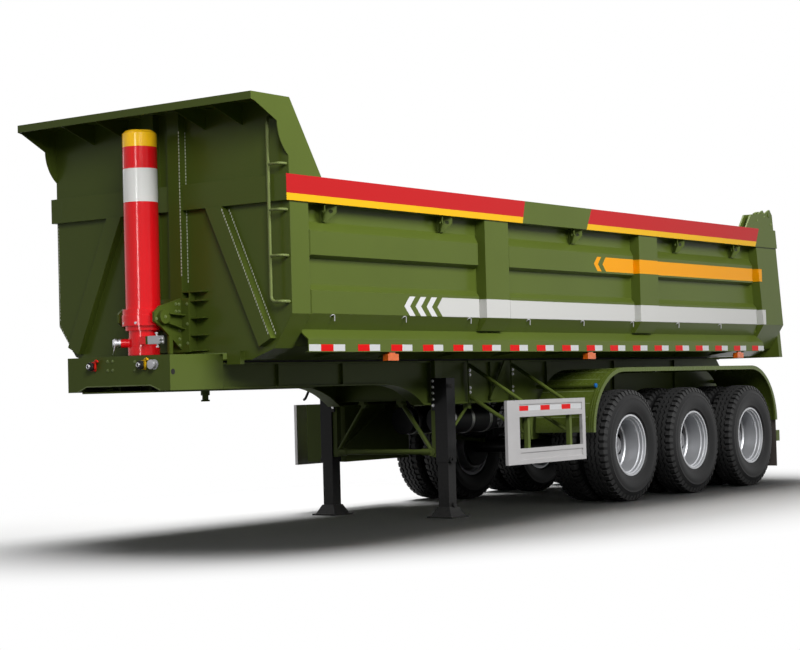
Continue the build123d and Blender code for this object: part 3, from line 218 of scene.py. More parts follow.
away = vector_calc(floor_tree, "LENGTH", {0: oval})["Value"]
fade_range = {"Value": away, "From Min": FADE_FROM, "From Max": FADE_TO}
fade = add_node(floor_tree, "ShaderNodeMapRange", fade_range, interpolation_type="SMOOTHSTEP")
seen_far = calc(floor_tree, "MULTIPLY", fade.outputs["Result"], floor_seen)
glow = add_node(floor_tree, "ShaderNodeEmission")
shown_floor = mix_shaders(floor_tree, seen_far, floor_bsdf, glow)
feed(floor_tree, floor_tree.nodes["Material Output"], {"Surface": shown_floor})
floor_mesh.materials.append(floor_paint)

but_floor = bpy.data.collections.new("all_but_floor")
but_floor.objects.link(floor)
but_floor.collection_objects[0].light_linking.link_state = "EXCLUDE"
for name in NOT_ON_FLOOR:
    lamp_holders[name].light_linking.receiver_collection = but_floor
cylinder_only = bpy.data.collections.new("cylinder_only")
for name in ("cylinder_base", "cylinder_cover"):
    cylinder_only.objects.link(nodes[name])
lamp_holders[ON_CYLINDER].light_linking.receiver_collection = cylinder_only
print("floor fades out between", FADE_FROM, "and", FADE_TO)

# %% [markdown]
# ## Shared finishes as node groups
# Paint is never one flat colour. A large, faint cloud of lighter and darker tone, a fine ripple in the coat
# and a little dust towards the ground make it read as sprayed steel. More than one paint needs this, so it
# is a node group with named inputs, and each material places it with its own values. Object coordinates are
# used throughout, because every piece sits at the origin and its pattern must not slide.

# %% Node group tools
NOISE_ROUGHNESS = 0.55


def new_group(name, inputs, outputs):
    """An empty shader group, the sockets of its named inputs and its output node."""
    group = bpy.data.node_groups.new(name, "ShaderNodeTree")
    for socket, kind, value in inputs:
        made = group.interface.new_socket(name=socket, in_out="INPUT", socket_type="NodeSocket" + kind)
        made.default_value = value
    for socket, kind in outputs:
        group.interface.new_socket(name=socket, in_out="OUTPUT", socket_type="NodeSocket" + kind)
    return group, add_node(group, "NodeGroupInput").outputs, add_node(group, "NodeGroupOutput")


def noise(tree, vector, scale, detail=3.0):
    """A noise texture's value."""
    inputs = {"Vector": vector, "Scale": scale, "Detail": detail, "Roughness": NOISE_ROUGHNESS}
    return add_node(tree, "ShaderNodeTexNoise", inputs).outputs["Fac"]


def object_place(tree):
    """Object coordinates."""
    return add_node(tree, "ShaderNodeTexCoord").outputs["Object"]


def object_axes(tree):
    """X, Y and Z of the Object coordinates."""
    return add_node(tree, "ShaderNodeSeparateXYZ", {0: object_place(tree)}).outputs


def between(tree, value, low, high):
    """A mask that is 1 where a value lies between two others."""
    over = calc(tree, "GREATER_THAN", value, low)
    under = calc(tree, "LESS_THAN", value, high)
    return calc(tree, "MULTIPLY", over, under)


# %% The sprayed coat
SPECK_SCALE = 38.0
RIPPLE_SCALE = 240.0
TONE_SWING, TONE_BASE = 0.30, 0.85
DUST_FALL = 0.9
SPECK_ROUGHNESS, DUST_ROUGHNESS = 0.10, 0.5
sprayed, given, coat_out = new_group(
    "sprayed_coat",
    (
        ("Color", "Color", (0.1, 0.1, 0.1, 1)),
        ("Dust Color", "Color", (0.30, 0.29, 0.25, 1)),
        ("Dust", "Float", 0.25),
        ("Cloud Scale", "Float", 0.9),
        ("Gloss", "Float", 0.32),
    ),
    (("Color", "Color"), ("Roughness", "Float"), ("Height", "Float")),
)
place = object_place(sprayed)
_, _, height = object_axes(sprayed)
cloud = noise(sprayed, place, given["Cloud Scale"], 4.0)
speck = noise(sprayed, place, SPECK_SCALE, 2.0)
tone = calc(sprayed, "MULTIPLY_ADD", cloud, TONE_SWING, TONE_BASE)
toned = vector_calc(sprayed, "SCALE", {0: given["Color"], "Scale": tone})[0]
low_share = calc(sprayed, "SUBTRACT", 1.0, calc(sprayed, "MULTIPLY", height, DUST_FALL), clamp=True)
patchy = calc(sprayed, "MULTIPLY", low_share, speck)
dusty = calc(sprayed, "MULTIPLY", patchy, given["Dust"], clamp=True)
rough = calc(sprayed, "ADD", given["Gloss"], calc(sprayed, "MULTIPLY", speck, SPECK_ROUGHNESS))
feed(sprayed, coat_out, {
    "Color": mix_colour(sprayed, dusty, toned, given["Dust Color"]),
    "Roughness": calc(sprayed, "ADD", rough, calc(sprayed, "MULTIPLY", dusty, DUST_ROUGHNESS), clamp=True),
    "Height": noise(sprayed, place, RIPPLE_SCALE, 1.0),
})
print("nodes in the coat", len(sprayed.nodes))

# %% [markdown]
# ## Stripes that point forward
# The long stripes on the ribs start with an arrow tip and small chevrons ahead of it. On the real trailer
# they are strips of foil. As a mask on Object coordinates they follow ribs and posts without any extra mesh:
# the distance along X is bent forward with the distance from the stripe's middle line, which draws the tip.

# %% The arrow stripe
TIP_SLOPE = 0.95
SIDE_FROM = 1.16
ARROW_SIZES = dict(Low=0.0, High=1.0, Tip=0.0, End=-1.0, Chevrons=0.0, Pitch=0.15, Width=0.075)
arrow, given, arrow_out = new_group(
    "arrow_stripe",
    [(name, "Float", value) for name, value in ARROW_SIZES.items()],
    (("Stripe", "Float"), ("Chevrons", "Float")),
)
along, across, height = object_axes(arrow)
middle = calc(arrow, "MULTIPLY", calc(arrow, "ADD", given["Low"], given["High"]), 0.5)
off_middle = calc(arrow, "ABSOLUTE", calc(arrow, "SUBTRACT", height, middle))
bent = calc(arrow, "ADD", along, calc(arrow, "MULTIPLY", off_middle, TIP_SLOPE))
in_band = between(arrow, height, given["Low"], given["High"])
outer = calc(arrow, "GREATER_THAN", calc(arrow, "ABSOLUTE", across), SIDE_FROM)
on_side = calc(arrow, "MULTIPLY", in_band, outer)
behind_tip = calc(arrow, "LESS_THAN", bent, given["Tip"])
before_end = calc(arrow, "GREATER_THAN", along, given["End"])
ahead = calc(arrow, "SUBTRACT", bent, given["Tip"])
in_pitch = calc(arrow, "MODULO", ahead, given["Pitch"])
ink = calc(arrow, "GREATER_THAN", in_pitch, calc(arrow, "SUBTRACT", given["Pitch"], given["Width"]))
reach = calc(arrow, "MULTIPLY", given["Chevrons"], given["Pitch"])
in_reach = between(arrow, ahead, 0.0, reach)
feed(arrow, arrow_out, {
    "Stripe": calc(arrow, "MULTIPLY", on_side, calc(arrow, "MULTIPLY", behind_tip, before_end)),
    "Chevrons": calc(arrow, "MULTIPLY", on_side, calc(arrow, "MULTIPLY", ink, in_reach)),
})
print("nodes in the arrow", len(arrow.nodes))

# %% [markdown]
# ## Materials
# Each paint is a short function: it places the coat group, mixes in its own stripes or bands and hands
# colour, roughness and a fine bump to a Principled BSDF. The Bevel node rounds the shading of sharp edges by
# a few millimetres, as folded and welded plate is rounded, so that edges catch the light.

# %% Material tools
PAINT_EDGE, METAL_EDGE = 0.004, 0.002
BEVEL_SAMPLES = 4
PAINT_SPECULAR = 0.10
PAINT_BUMP, METAL_BUMP = (0.05, 0.0004), (0.06, 0.0006)
RUBBER_BUMP, LENS_BUMP = (0.2, 0.0010), (0.25, 0.0010)
LENS_RIDGES = 180.0


def start_material(name):
    """A new material, its node tree and its Principled BSDF."""
    material = bpy.data.materials.new(name)
    material.use_nodes = True
    return material, material.node_tree, material.node_tree.nodes["Principled BSDF"]


def tinted(colour, factor, lift=0.0):
    """A colour made lighter or darker."""
    return tuple(min(1.0, c * factor + lift) for c in colour[:3]) + (1,)


def bumped(tree, height, strength, distance, edge=0):
    """A normal from a height; with an edge, the Bevel node rounds edges under it."""
    inputs = {"Height": height, "Strength": strength, "Distance": distance}
    if edge:
        bevel = add_node(tree, "ShaderNodeBevel", {"Radius": edge}, samples=BEVEL_SAMPLES)
        inputs["Normal"] = bevel.outputs[0]
    return add_node(tree, "ShaderNodeBump", inputs).outputs[0]


def paint(name, colour, gloss, dust, marks=None, edge=PAINT_EDGE, coat_weight=0.06):
    """Sprayed steel; marks, if given, mixes stripes into the colour."""
    material, tree, bsdf = start_material(name)
    inputs = {"Color": colour, "Gloss": gloss, "Dust": dust}
    coat = add_node(tree, "ShaderNodeGroup", inputs, node_tree=sprayed).outputs
    feed(tree, bsdf, {
        "Base Color": marks(tree, coat["Color"]) if marks else coat["Color"],
        "Roughness": coat["Roughness"],
        "Specular IOR Level": PAINT_SPECULAR,
        "Coat Weight": coat_weight,
        "Coat Roughness": 0.12,
        "Normal": bumped(tree, coat["Height"], *PAINT_BUMP, edge),
    })
    return material


def metal(name, colour, gloss, metallic=1.0, grain=(1, 1, 1), marks=None):
    """Bare or metallic-coated metal with a grain that can run along one axis."""
    material, tree, bsdf = start_material(name)
    place = object_place(tree)
    stretch = add_node(tree, "ShaderNodeMapping", {"Vector": place, "Scale": grain})
    streak = noise(tree, stretch.outputs[0], 90.0)
    shown = mix_colour(tree, noise(tree, place, 3.0), tinted(colour, 0.80), tinted(colour, 1.12))
    feed(tree, bsdf, {
        "Base Color": marks(tree, shown) if marks else shown,
        "Metallic": metallic,
        "Roughness": calc(tree, "ADD", gloss, calc(tree, "MULTIPLY", streak, 0.16)),
        "Normal": bumped(tree, streak, *METAL_BUMP, METAL_EDGE),
    })
    return material


def rubber(name, colour, gloss, scale, sheen=0.16):
    """Matt rubber with a fine grain and greyer patches of dust."""
    material, tree, bsdf = start_material(name)
    place = object_place(tree)
    grain = noise(tree, place, scale, 4.0)
    patches = calc(tree, "MULTIPLY", noise(tree, place, 5.0), 0.7)
    feed(tree, bsdf, {
        "Base Color": mix_colour(tree, patches, colour, tinted(colour, 2.1, 0.004)),
        "Roughness": calc(tree, "ADD", gloss, calc(tree, "MULTIPLY", grain, 0.25)),
        "Specular IOR Level": sheen,
        "Normal": bumped(tree, grain, *RUBBER_BUMP),
    })
    return material


def lens(name, colour):
    """A moulded lamp lens: glossy, ribbed and a little deeper in places."""
    material, tree, bsdf = start_material(name)
    along, _, _ = object_axes(tree)
    rib = calc(tree, "SINE", calc(tree, "MULTIPLY", along, LENS_RIDGES * math.tau))
    cloud = noise(tree, object_place(tree), 25.0, 2.0)
    feed(tree, bsdf, {
        "Base Color": mix_colour(tree, cloud, tinted(colour, 0.65), colour),
        "Roughness": 0.15,
        "Normal": bumped(tree, rib, *LENS_BUMP, METAL_EDGE),
    })
    return material


# %% Stripes and bands painted on the trailer
OLIVE = (0.098, 0.136, 0.020, 1)
FRAME_GREEN = (0.100, 0.136, 0.026, 1)
SIGNAL_RED = (0.56, 0.012, 0.014, 1)
CYLINDER_RED = (0.66, 0.006, 0.010, 1)
SIGNAL_YELLOW = (0.93, 0.52, 0.010, 1)
ORANGE_YELLOW = (1.0, 0.40, 0.002, 1)
STRIPE_SILVER = (0.68, 0.68, 0.655, 1)
PAINT_WHITE = (0.80, 0.80, 0.80, 1)
SATIN_BLACK = (0.010, 0.010, 0.011, 1)
# The wheel disc's dark grey is painted shade of the recessed disc.
DISC_SHADE_GREY = (0.075, 0.077, 0.082, 1)
SILVER_STRIPE = dict(Low=1.743, High=1.903, Tip=2.10, End=-4.12, Chevrons=3.0, Pitch=0.155, Width=0.078)
ORANGE_STRIPE = dict(Low=2.213, High=2.349, Tip=-0.65, End=-4.05, Chevrons=1.0, Pitch=0.16, Width=0.075)
RAIL_YELLOW_TOP, RAIL_MIDDLE, RAIL_TOP = 2.645, 2.69, 2.7905
RAIL_FACE = 1.264
FRONT_SLANT, REAR_SLANT = 0.25, 0.50
FRONT_PART_FROM = 0.795
REAR_PART = (-3.93, -0.34)
CAP_FROM = 3.08
BAND = (2.65, 2.91)
DISC_RADIUS = 0.247
AXLE_PLACES = [sum(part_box(f"hub_left_{axle}"), Vector()) / 2 for axle in AXLES]


def body_marks(tree, shown):
    """The silver and the orange stripe with their chevrons."""
    for sizes, colour, chevron in (
        (SILVER_STRIPE, STRIPE_SILVER, PAINT_WHITE),
        (ORANGE_STRIPE, ORANGE_YELLOW, ORANGE_YELLOW),
    ):
        stripe = add_node(tree, "ShaderNodeGroup", sizes, node_tree=arrow).outputs
        shown = mix_colour(tree, stripe["Stripe"], shown, colour)
        shown = mix_colour(tree, stripe["Chevrons"], shown, chevron)
    return shown


def rail_marks(tree, shown):
    """Red over yellow along the top rail, with a slanted green gap and a green rear end."""
    along, across, height = object_axes(tree)
    rise = calc(tree, "SUBTRACT", height, RAIL_MIDDLE)
    front_end = calc(tree, "ADD", along, calc(tree, "MULTIPLY", rise, FRONT_SLANT))
    rear_end = calc(tree, "ADD", along, calc(tree, "MULTIPLY", rise, REAR_SLANT))
    front_part = calc(tree, "GREATER_THAN", front_end, FRONT_PART_FROM)
    rear_part = between(tree, rear_end, *REAR_PART)
    on_face = calc(tree, "GREATER_THAN", calc(tree, "ABSOLUTE", across), RAIL_FACE)
    below_top = calc(tree, "LESS_THAN", height, RAIL_TOP)
    painted = calc(tree, "MULTIPLY", calc(tree, "MAXIMUM", front_part, rear_part), on_face)
    painted = calc(tree, "MULTIPLY", painted, below_top)
    yellow = calc(tree, "LESS_THAN", height, RAIL_YELLOW_TOP)
    colour = mix_colour(tree, yellow, SIGNAL_RED, SIGNAL_YELLOW)
    return mix_colour(tree, painted, shown, colour)


def cylinder_marks(tree, shown):
    """The yellow cap and the silver band of the cylinder's cover."""
    _, _, height = object_axes(tree)
    shown = mix_colour(tree, between(tree, height, *BAND), shown, STRIPE_SILVER)
    return mix_colour(tree, calc(tree, "GREATER_THAN", height, CAP_FROM), shown, SIGNAL_YELLOW)


def disc_shade_marks(tree, shown):
    """Painted shade: the wheel's recessed disc made darker than the barrel, a circle about each axle."""
    along, _, height = object_axes(tree)
    for place in AXLE_PLACES:
        x = calc(tree, "SUBTRACT", along, place.x)
        z = calc(tree, "SUBTRACT", height, place.z)
        off = add_node(tree, "ShaderNodeCombineXYZ", {"X": x, "Z": z}).outputs[0]
        away = vector_calc(tree, "LENGTH", {0: off})["Value"]
        shown = mix_colour(tree, calc(tree, "LESS_THAN", away, DISC_RADIUS), shown, DISC_SHADE_GREY)
    return shown


# %% The trailer's finishes
FINISH = {
    "tyre": rubber("tyre_rubber", (0.0060, 0.0060, 0.0062, 1), 0.40, 120.0, 0.20),
    "rim_silver": metal("silver_wheel_paint", (0.56, 0.57, 0.59, 1), 0.30, 0.60, marks=disc_shade_marks),
    "hub_steel": metal("cast_hub", (0.30, 0.30, 0.31, 1), 0.40, 0.8),
    "frame_green": paint("frame_paint", FRAME_GREEN, 0.34, 0.15, coat_weight=0.0),
    "running_gear_black": paint("black_satin", SATIN_BLACK, 0.36, 0.08),
    "coupling_metal": metal("cast_coupling", (0.52, 0.52, 0.53, 1), 0.3),
    "black_rubber": rubber("sheet_rubber", (0.016, 0.015, 0.014, 1), 0.55, 60.0),
    "mudguard_green": paint("mudguard_paint", OLIVE, 0.22, 0.10, coat_weight=0.2),
    "guard_aluminium": metal("mill_aluminium", (0.52, 0.51, 0.51, 1), 0.34, 0.40, (0.04, 1, 1)),
    "lamp_red": lens("red_lens", (0.45, 0.006, 0.006, 1)),
    "lamp_amber": lens("amber_lens", (0.90, 0.16, 0.010, 1)),
    "body_green": paint("body_paint", OLIVE, 0.28, 0.10, body_marks),
    "rail_red": paint("rail_paint", OLIVE, 0.28, 0.0, rail_marks),
    "cylinder_red": paint("cylinder_paint", CYLINDER_RED, 0.14, 0.0, cylinder_marks, 0.006, 0.25),
    "stage_chrome": metal("hard_chrome", (0.72, 0.72, 0.74, 1), 0.08, 1.0, (1, 1, 0.1)),
}
OWN_FINISH = {
    # The ladder's paint is the olive made lighter: painted light on the ladder.
    "ladder": paint("ladder_lit_paint", (0.21, 0.26, 0.085, 1), 0.24, 0.0),
    "cylinder_base": paint("cylinder_foot", CYLINDER_RED, 0.14, 0.0, None, 0.006, 0.25),
    "mud_flaps": rubber("flap_rubber", (0.050, 0.043, 0.038, 1), 0.6, 60.0),
}
BRIGHT = FINISH["coupling_metal"]
BLACK = FINISH["black_rubber"]
slot_of = {row["node"]: row["material_slot"] for row in frame["record"]["subparts"]}
for name, node in nodes.items():
    node.data.materials.clear()
    node.data.materials.append(OWN_FINISH.get(name) or FINISH[slot_of[name]])
print("finishes", len(FINISH) + len(OWN_FINISH))

# %% [markdown]
# ## Geometry Nodes for what repeats
# Tread blocks, wheel nuts, bolts, strips of tape and hooks repeat many times. Four small trees do all of it:
# one turns copies about an axle, one sets copies in a row, one puts bolt heads on marked points and one lays
# a round tube along a bent line. Each tree has named inputs, ends in Realize Instances and Set Material, and
# its result is then kept as a plain mesh.

# %% Geometry Nodes tools
def new_tree(name, inputs):
    """A geometry tree with inputs Geometry, the named ones and Material, and the sockets of its inputs."""
    tree = bpy.data.node_groups.new(name, "GeometryNodeTree")
    for socket, kind, value in (("Geometry", "Geometry", None), *inputs, ("Material", "Material", None)):
        made = tree.interface.new_socket(name=socket, in_out="INPUT", socket_type="NodeSocket" + kind)
        if value is not None:
            made.default_value = value
    tree.interface.new_socket(name="Geometry", in_out="OUTPUT", socket_type="NodeSocketGeometry")
    return tree, add_node(tree, "NodeGroupInput").outputs


def close_tree(tree, geometry, material):
    """Realizes the instances, sets the material and joins the output."""
    real = add_node(tree, "GeometryNodeRealizeInstances", {0: geometry}).outputs[0]
    dressed = add_node(tree, "GeometryNodeSetMaterial", {"Geometry": real, "Material": material})
    add_node(tree, "NodeGroupOutput", {0: dressed.outputs[0]})


def run_tree(mesh, tree, values):
    """Runs a geometry tree on a mesh and gives back the plain result."""
    holder = bpy.data.objects.new("holder", mesh)
    bpy.context.scene.collection.objects.link(holder)
    modifier = holder.modifiers.new("tree", "NODES")
    modifier.node_group = tree
    for socket in tree.interface.items_tree:
        if socket.in_out == "INPUT" and socket.name in values:
            modifier[socket.identifier] = values[socket.name]
    graph = bpy.context.evaluated_depsgraph_get()
    graph.update()
    result = bpy.data.meshes.new_from_object(holder.evaluated_get(graph))
    holder.modifiers.remove(modifier)
    bpy.data.objects.remove(holder)
    return result


# %% Copies turned about an axle
axle_tree, given = new_tree("copies_about_axle", (("Count", "Int", 12), ("Start Angle", "Float", 0.0)))
spots = add_node(axle_tree, "GeometryNodePoints", {"Count": given["Count"]})
which = add_node(axle_tree, "GeometryNodeInputIndex")
step = calc(axle_tree, "DIVIDE", math.tau, given["Count"])
angle = calc(axle_tree, "MULTIPLY_ADD", which.outputs[0], step, given["Start Angle"])
euler = add_node(axle_tree, "ShaderNodeCombineXYZ", {"Y": angle})
copies = add_node(axle_tree, "GeometryNodeInstanceOnPoints", {
    "Points": spots.outputs[0], "Instance": given["Geometry"], "Rotation": euler.outputs[0],
})
close_tree(axle_tree, copies.outputs[0], given["Material"])


def about_axle(mesh, count, start_angle, material):
    """Copies of a mesh turned about the Y axis."""
    return run_tree(mesh, axle_tree, {"Count": count, "Start Angle": start_angle, "Material": material})


print("nodes in", axle_tree.name, len(axle_tree.nodes))

# %% Copies in a row
row_tree, given = new_tree("copies_in_row", (
    ("Count", "Int", 4), ("Start", "Vector", (0, 0, 0)), ("Step", "Vector", (1, 0, 0)),
))
line = add_node(row_tree, "GeometryNodeMeshLine", {
    "Count": given["Count"], "Start Location": given["Start"], "Offset": given["Step"],
}, mode="OFFSET")
copies = add_node(row_tree, "GeometryNodeInstanceOnPoints", {
    "Points": line.outputs[0], "Instance": given["Geometry"],
})
close_tree(row_tree, copies.outputs[0], given["Material"])


def in_row(mesh, count, start, step, material):
    """Copies of a mesh in a row."""
    return run_tree(mesh, row_tree, {"Count": count, "Start": start, "Step": step, "Material": material})


print("nodes in", row_tree.name, len(row_tree.nodes))

# %% Bolt heads on marked points
HEAD_SIDES, WASHER_SIDES = 6, 12
WASHER_THICK, WASHER_WIDE = 0.30, 1.45
HEAD_HIGH = 0.9
bolt_tree, given = new_tree("bolts_on_points", (
    ("Radius", "Float", 0.012), ("Height", "Float", 0.010), ("Washer", "Float", 0.017),
))
head = add_node(bolt_tree, "GeometryNodeMeshCylinder", {
    "Vertices": HEAD_SIDES, "Radius": given["Radius"], "Depth": given["Height"],
})
washer = add_node(bolt_tree, "GeometryNodeMeshCylinder", {
    "Vertices": WASHER_SIDES,
    "Radius": given["Washer"],
    "Depth": calc(bolt_tree, "MULTIPLY", given["Height"], WASHER_THICK),
})
lift = add_node(bolt_tree, "ShaderNodeCombineXYZ", {"Z": calc(bolt_tree, "MULTIPLY", given["Height"], 0.5)})
raised = add_node(bolt_tree, "GeometryNodeTransform", {
    "Geometry": head.outputs["Mesh"], "Translation": lift.outputs[0],
})
pair = add_node(bolt_tree, "GeometryNodeJoinGeometry")
for shape in (raised.outputs[0], washer.outputs["Mesh"]):
    feed(bolt_tree, pair, {0: shape})
facing = add_node(bolt_tree, "GeometryNodeInputNamedAttribute", {"Name": "facing"}, data_type="FLOAT_VECTOR")
aim = add_node(bolt_tree, "FunctionNodeAlignRotationToVector", {"Vector": facing.outputs[0]}, axis="Z")
heads = add_node(bolt_tree, "GeometryNodeInstanceOnPoints", {
    "Points": given["Geometry"], "Instance": pair.outputs[0], "Rotation": aim.outputs[0],
})
close_tree(bolt_tree, heads.outputs[0], given["Material"])


def bolt_mesh(spots, radius, material, height=None):
    """Bolt heads at places that each have a direction to face."""
    mesh = bpy.data.meshes.new("bolt_points")
    mesh.from_pydata([tuple(place) for place, _ in spots], [], [])
    mark = mesh.attributes.new("facing", "FLOAT_VECTOR", "POINT")
    for i, (_, way) in enumerate(spots):
        mark.data[i].vector = way
    return run_tree(mesh, bolt_tree, {
        "Radius": radius,
        "Height": height or radius * HEAD_HIGH,
        "Washer": radius * WASHER_WIDE,
        "Material": material,
    })


print("nodes in", bolt_tree.name, len(bolt_tree.nodes))

# %% A tube along a bent line
BEND_STEPS = 5
tube_tree, given = new_tree("tube_along_line", (
    ("Radius", "Float", 0.01), ("Bend", "Float", 0.03), ("Sides", "Int", 10),
))
curve = add_node(tube_tree, "GeometryNodeMeshToCurve", {0: given["Geometry"]})
rounded = add_node(tube_tree, "GeometryNodeFilletCurve", {
    0: curve.outputs[0], "Count": BEND_STEPS, "Limit Radius": True, "Radius": given["Bend"],
}, mode="POLY")
circle = add_node(tube_tree, "GeometryNodeCurvePrimitiveCircle", {
    "Resolution": given["Sides"], "Radius": given["Radius"],
})
skin = add_node(tube_tree, "GeometryNodeCurveToMesh", {
    "Curve": rounded.outputs[0], "Profile Curve": circle.outputs[0], "Fill Caps": True,
})
close_tree(tube_tree, skin.outputs[0], given["Material"])


def outward(mesh):
    """Merges doubles and turns all faces outwards."""
    work = bmesh.new()
    work.from_mesh(mesh)
    bmesh.ops.remove_doubles(work, verts=work.verts, dist=1e-5)
    bmesh.ops.recalc_face_normals(work, faces=work.faces)
    work.to_mesh(mesh)
    work.free()
    return mesh


def tube_mesh(points, radius, material, bend, sides=8):
    """A round tube along a line of points with rounded corners."""
    mesh = bpy.data.meshes.new("tube_line")
    mesh.from_pydata([tuple(p) for p in points], [(i, i + 1) for i in range(len(points) - 1)], [])
    return outward(run_tree(mesh, tube_tree, {
        "Radius": radius, "Bend": bend, "Sides": sides, "Material": material,
    }))


print("nodes in", tube_tree.name, len(tube_tree.nodes))

# %% [markdown]
# ## Small shapes and pieces
# Some small things are plain boxes and some are turned on a lathe, so a helper makes each from a few numbers.
# The parts of a piece are joined into one mesh that keeps the material of each face, and the piece then rides
# on the body that carries it.

# %% Boxes and turned shapes
AXIS = 0.0001


def shape_mesh(points, faces, material=None):
    """A mesh from points and faces that are turned outwards."""
    mesh = bpy.data.meshes.new("shape")
    mesh.from_pydata(points, [], faces)
    mesh.validate()
    mesh.update()
    outward(mesh)
    if material:
        mesh.materials.append(material)
    return mesh


def box_mesh(low, high, material):
    """A plain box between two corners, for thin strips and small plates."""
    (x0, y0, z0), (x1, y1, z1) = low, high
    points = [(x, y, z) for x in (x0, x1) for y in (y0, y1) for z in (z0, z1)]
    faces = [(0, 1, 3, 2), (4, 6, 7, 5), (0, 4, 5, 1), (2, 3, 7, 6), (0, 2, 6, 4), (1, 5, 7, 3)]
    return shape_mesh(points, faces, material)


def lathe(profile, steps, material, solid=False):
    """Turns a profile of (place along Y, radius) about the Y axis; a solid one is closed at both ends."""
    if solid:
        profile = ((profile[0][0], AXIS), *profile, (profile[-1][0], AXIS))
    points = []
    faces = []
    for i in range(steps):
        angle = math.tau * i / steps
        points += [(r * math.cos(angle), w, r * math.sin(angle)) for w, r in profile]
    count = len(profile)
    for i in range(steps):
        for j in range(count - 1):
            a = i * count + j
            b = ((i + 1) % steps) * count + j
            faces.append((a, a + 1, b + 1, b))
    return shape_mesh(points, faces, material)


# %% Joined pieces
SMOOTH = 40


def joined(name, parts, smooth=None):
    """One mesh from parts, each a mesh or a mesh with its matrix; materials are kept by face."""
    work = bmesh.new()
    materials = []
    for part in parts:
        mesh, matrix = part if isinstance(part, tuple) else (part, None)
        start = len(work.faces)
        work.from_mesh(mesh)
        work.faces.ensure_lookup_table()
        fresh = work.faces[start:]
        if matrix is not None:
            moved = {v for face in fresh for v in face.verts}
            bmesh.ops.transform(work, matrix=matrix, verts=list(moved))
        for face in fresh:
            own = mesh.materials[face.material_index] if mesh.materials else None
            if own not in materials:
                materials.append(own)
            face.material_index = materials.index(own)
    mesh = bpy.data.meshes.new(name)
    work.to_mesh(mesh)
    work.free()
    for material in materials:
        mesh.materials.append(material)
    if smooth:
        mesh.shade_smooth()
        mesh.set_sharp_from_angle(angle=math.radians(smooth))
    return mesh


def show(name, parts, body, smooth=None):
    """Joins parts into a piece that rides on a body."""
    piece = bpy.data.objects.new(name, joined(name, parts, smooth))
    bpy.context.scene.collection.objects.link(piece)
    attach(piece, body)
    return piece


def triangles(piece):
    """How many triangles a piece has."""
    return sum(len(p.vertices) - 2 for p in piece.data.polygons)


# %% [markdown]
# ## Tyres
# Each tyre has a smooth, bulging side and a tread of zigzag ribs with heavy shoulder lugs. The side is a
# profile turned about the axle. The tread repeats one short pitch, so one pitch of ribs and lugs is modelled
# and turned round by the tree. The finished pair takes the place of the plain pair of solids and
# keeps its size.

# %% One pitch of tread
tyre_low, tyre_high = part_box("tyres_left_front")
TYRE_RADIUS = (tyre_high.z - tyre_low.z) / 2
TWIN_REACH = (tyre_high.y - tyre_low.y) / 2
TREAD_DEPTH = 0.019
CROWN_DROP, CROWN_HALF = 0.005, 0.12
PITCHES = 50
PITCH_ANGLE = math.tau / PITCHES
ZIGZAG = 0.009
RIBS = ((-0.016, 0.016), (0.032, 0.062), (-0.062, -0.032))
LUG_SHARE = 0.60
LUG_INNER, LUG_OUTER, LUG_FOOT = 0.076, 0.119, 0.139
LUG_FOOT_RADIUS = TYRE_RADIUS - 0.050


def crown(w):
    """The tread's outer radius at a place across it."""
    return TYRE_RADIUS - CROWN_DROP * (w / CROWN_HALF) ** 2


def on_tread(share, w, r):
    """A point of the tread at a share of the pitch."""
    angle = share * PITCH_ANGLE
    return (r * math.cos(angle), w, r * math.sin(angle))


LUG_LINE = (
    # place across the tyre, radius: from the groove over the edge to the foot on the side
    (LUG_INNER, crown(LUG_INNER) - TREAD_DEPTH),
    (LUG_INNER, crown(LUG_INNER)),
    (LUG_OUTER, crown(LUG_OUTER) - 0.003),
    (LUG_FOOT, LUG_FOOT_RADIUS),
    (LUG_FOOT - 0.020, LUG_FOOT_RADIUS - 0.004),
)
pitch_points = []
pitch_faces = []
for near, far in RIBS:
    start = len(pitch_points)
    for share, shift in ((0.0, -ZIGZAG), (0.5, ZIGZAG), (1.0, -ZIGZAG)):
        for w in (near + shift, far + shift):
            pitch_points.append(on_tread(share, w, crown(w) - TREAD_DEPTH))
            pitch_points.append(on_tread(share, w, crown(w)))
    for a in (start, start + 4):
        pitch_faces += [(a, a + 1, a + 5, a + 4), (a + 1, a + 3, a + 7, a + 5), (a + 3, a + 2, a + 6, a + 7)]
for sign in (1, -1):
    a = len(pitch_points)
    for share in (0.0, LUG_SHARE):
        pitch_points += [on_tread(share, sign * w, r) for w, r in LUG_LINE]
    pitch_faces += [(a + k, a + k + 1, a + k + 6, a + k + 5) for k in range(4)]
    pitch_faces += [(a, a + 1, a + 2, a + 3, a + 4), (a + 5, a + 6, a + 7, a + 8, a + 9)]
# The tread's rubber is the side's rubber made lighter: painted light on the tread blocks.
TREAD_LIT_RUBBER = rubber("tread_rubber_painted_light", (0.020, 0.020, 0.020, 1), 0.45, 120.0, 0.22)
tread = about_axle(shape_mesh(pitch_points, pitch_faces), PITCHES, 0.0, TREAD_LIT_RUBBER)
print("faces in the tread", len(tread.polygons))

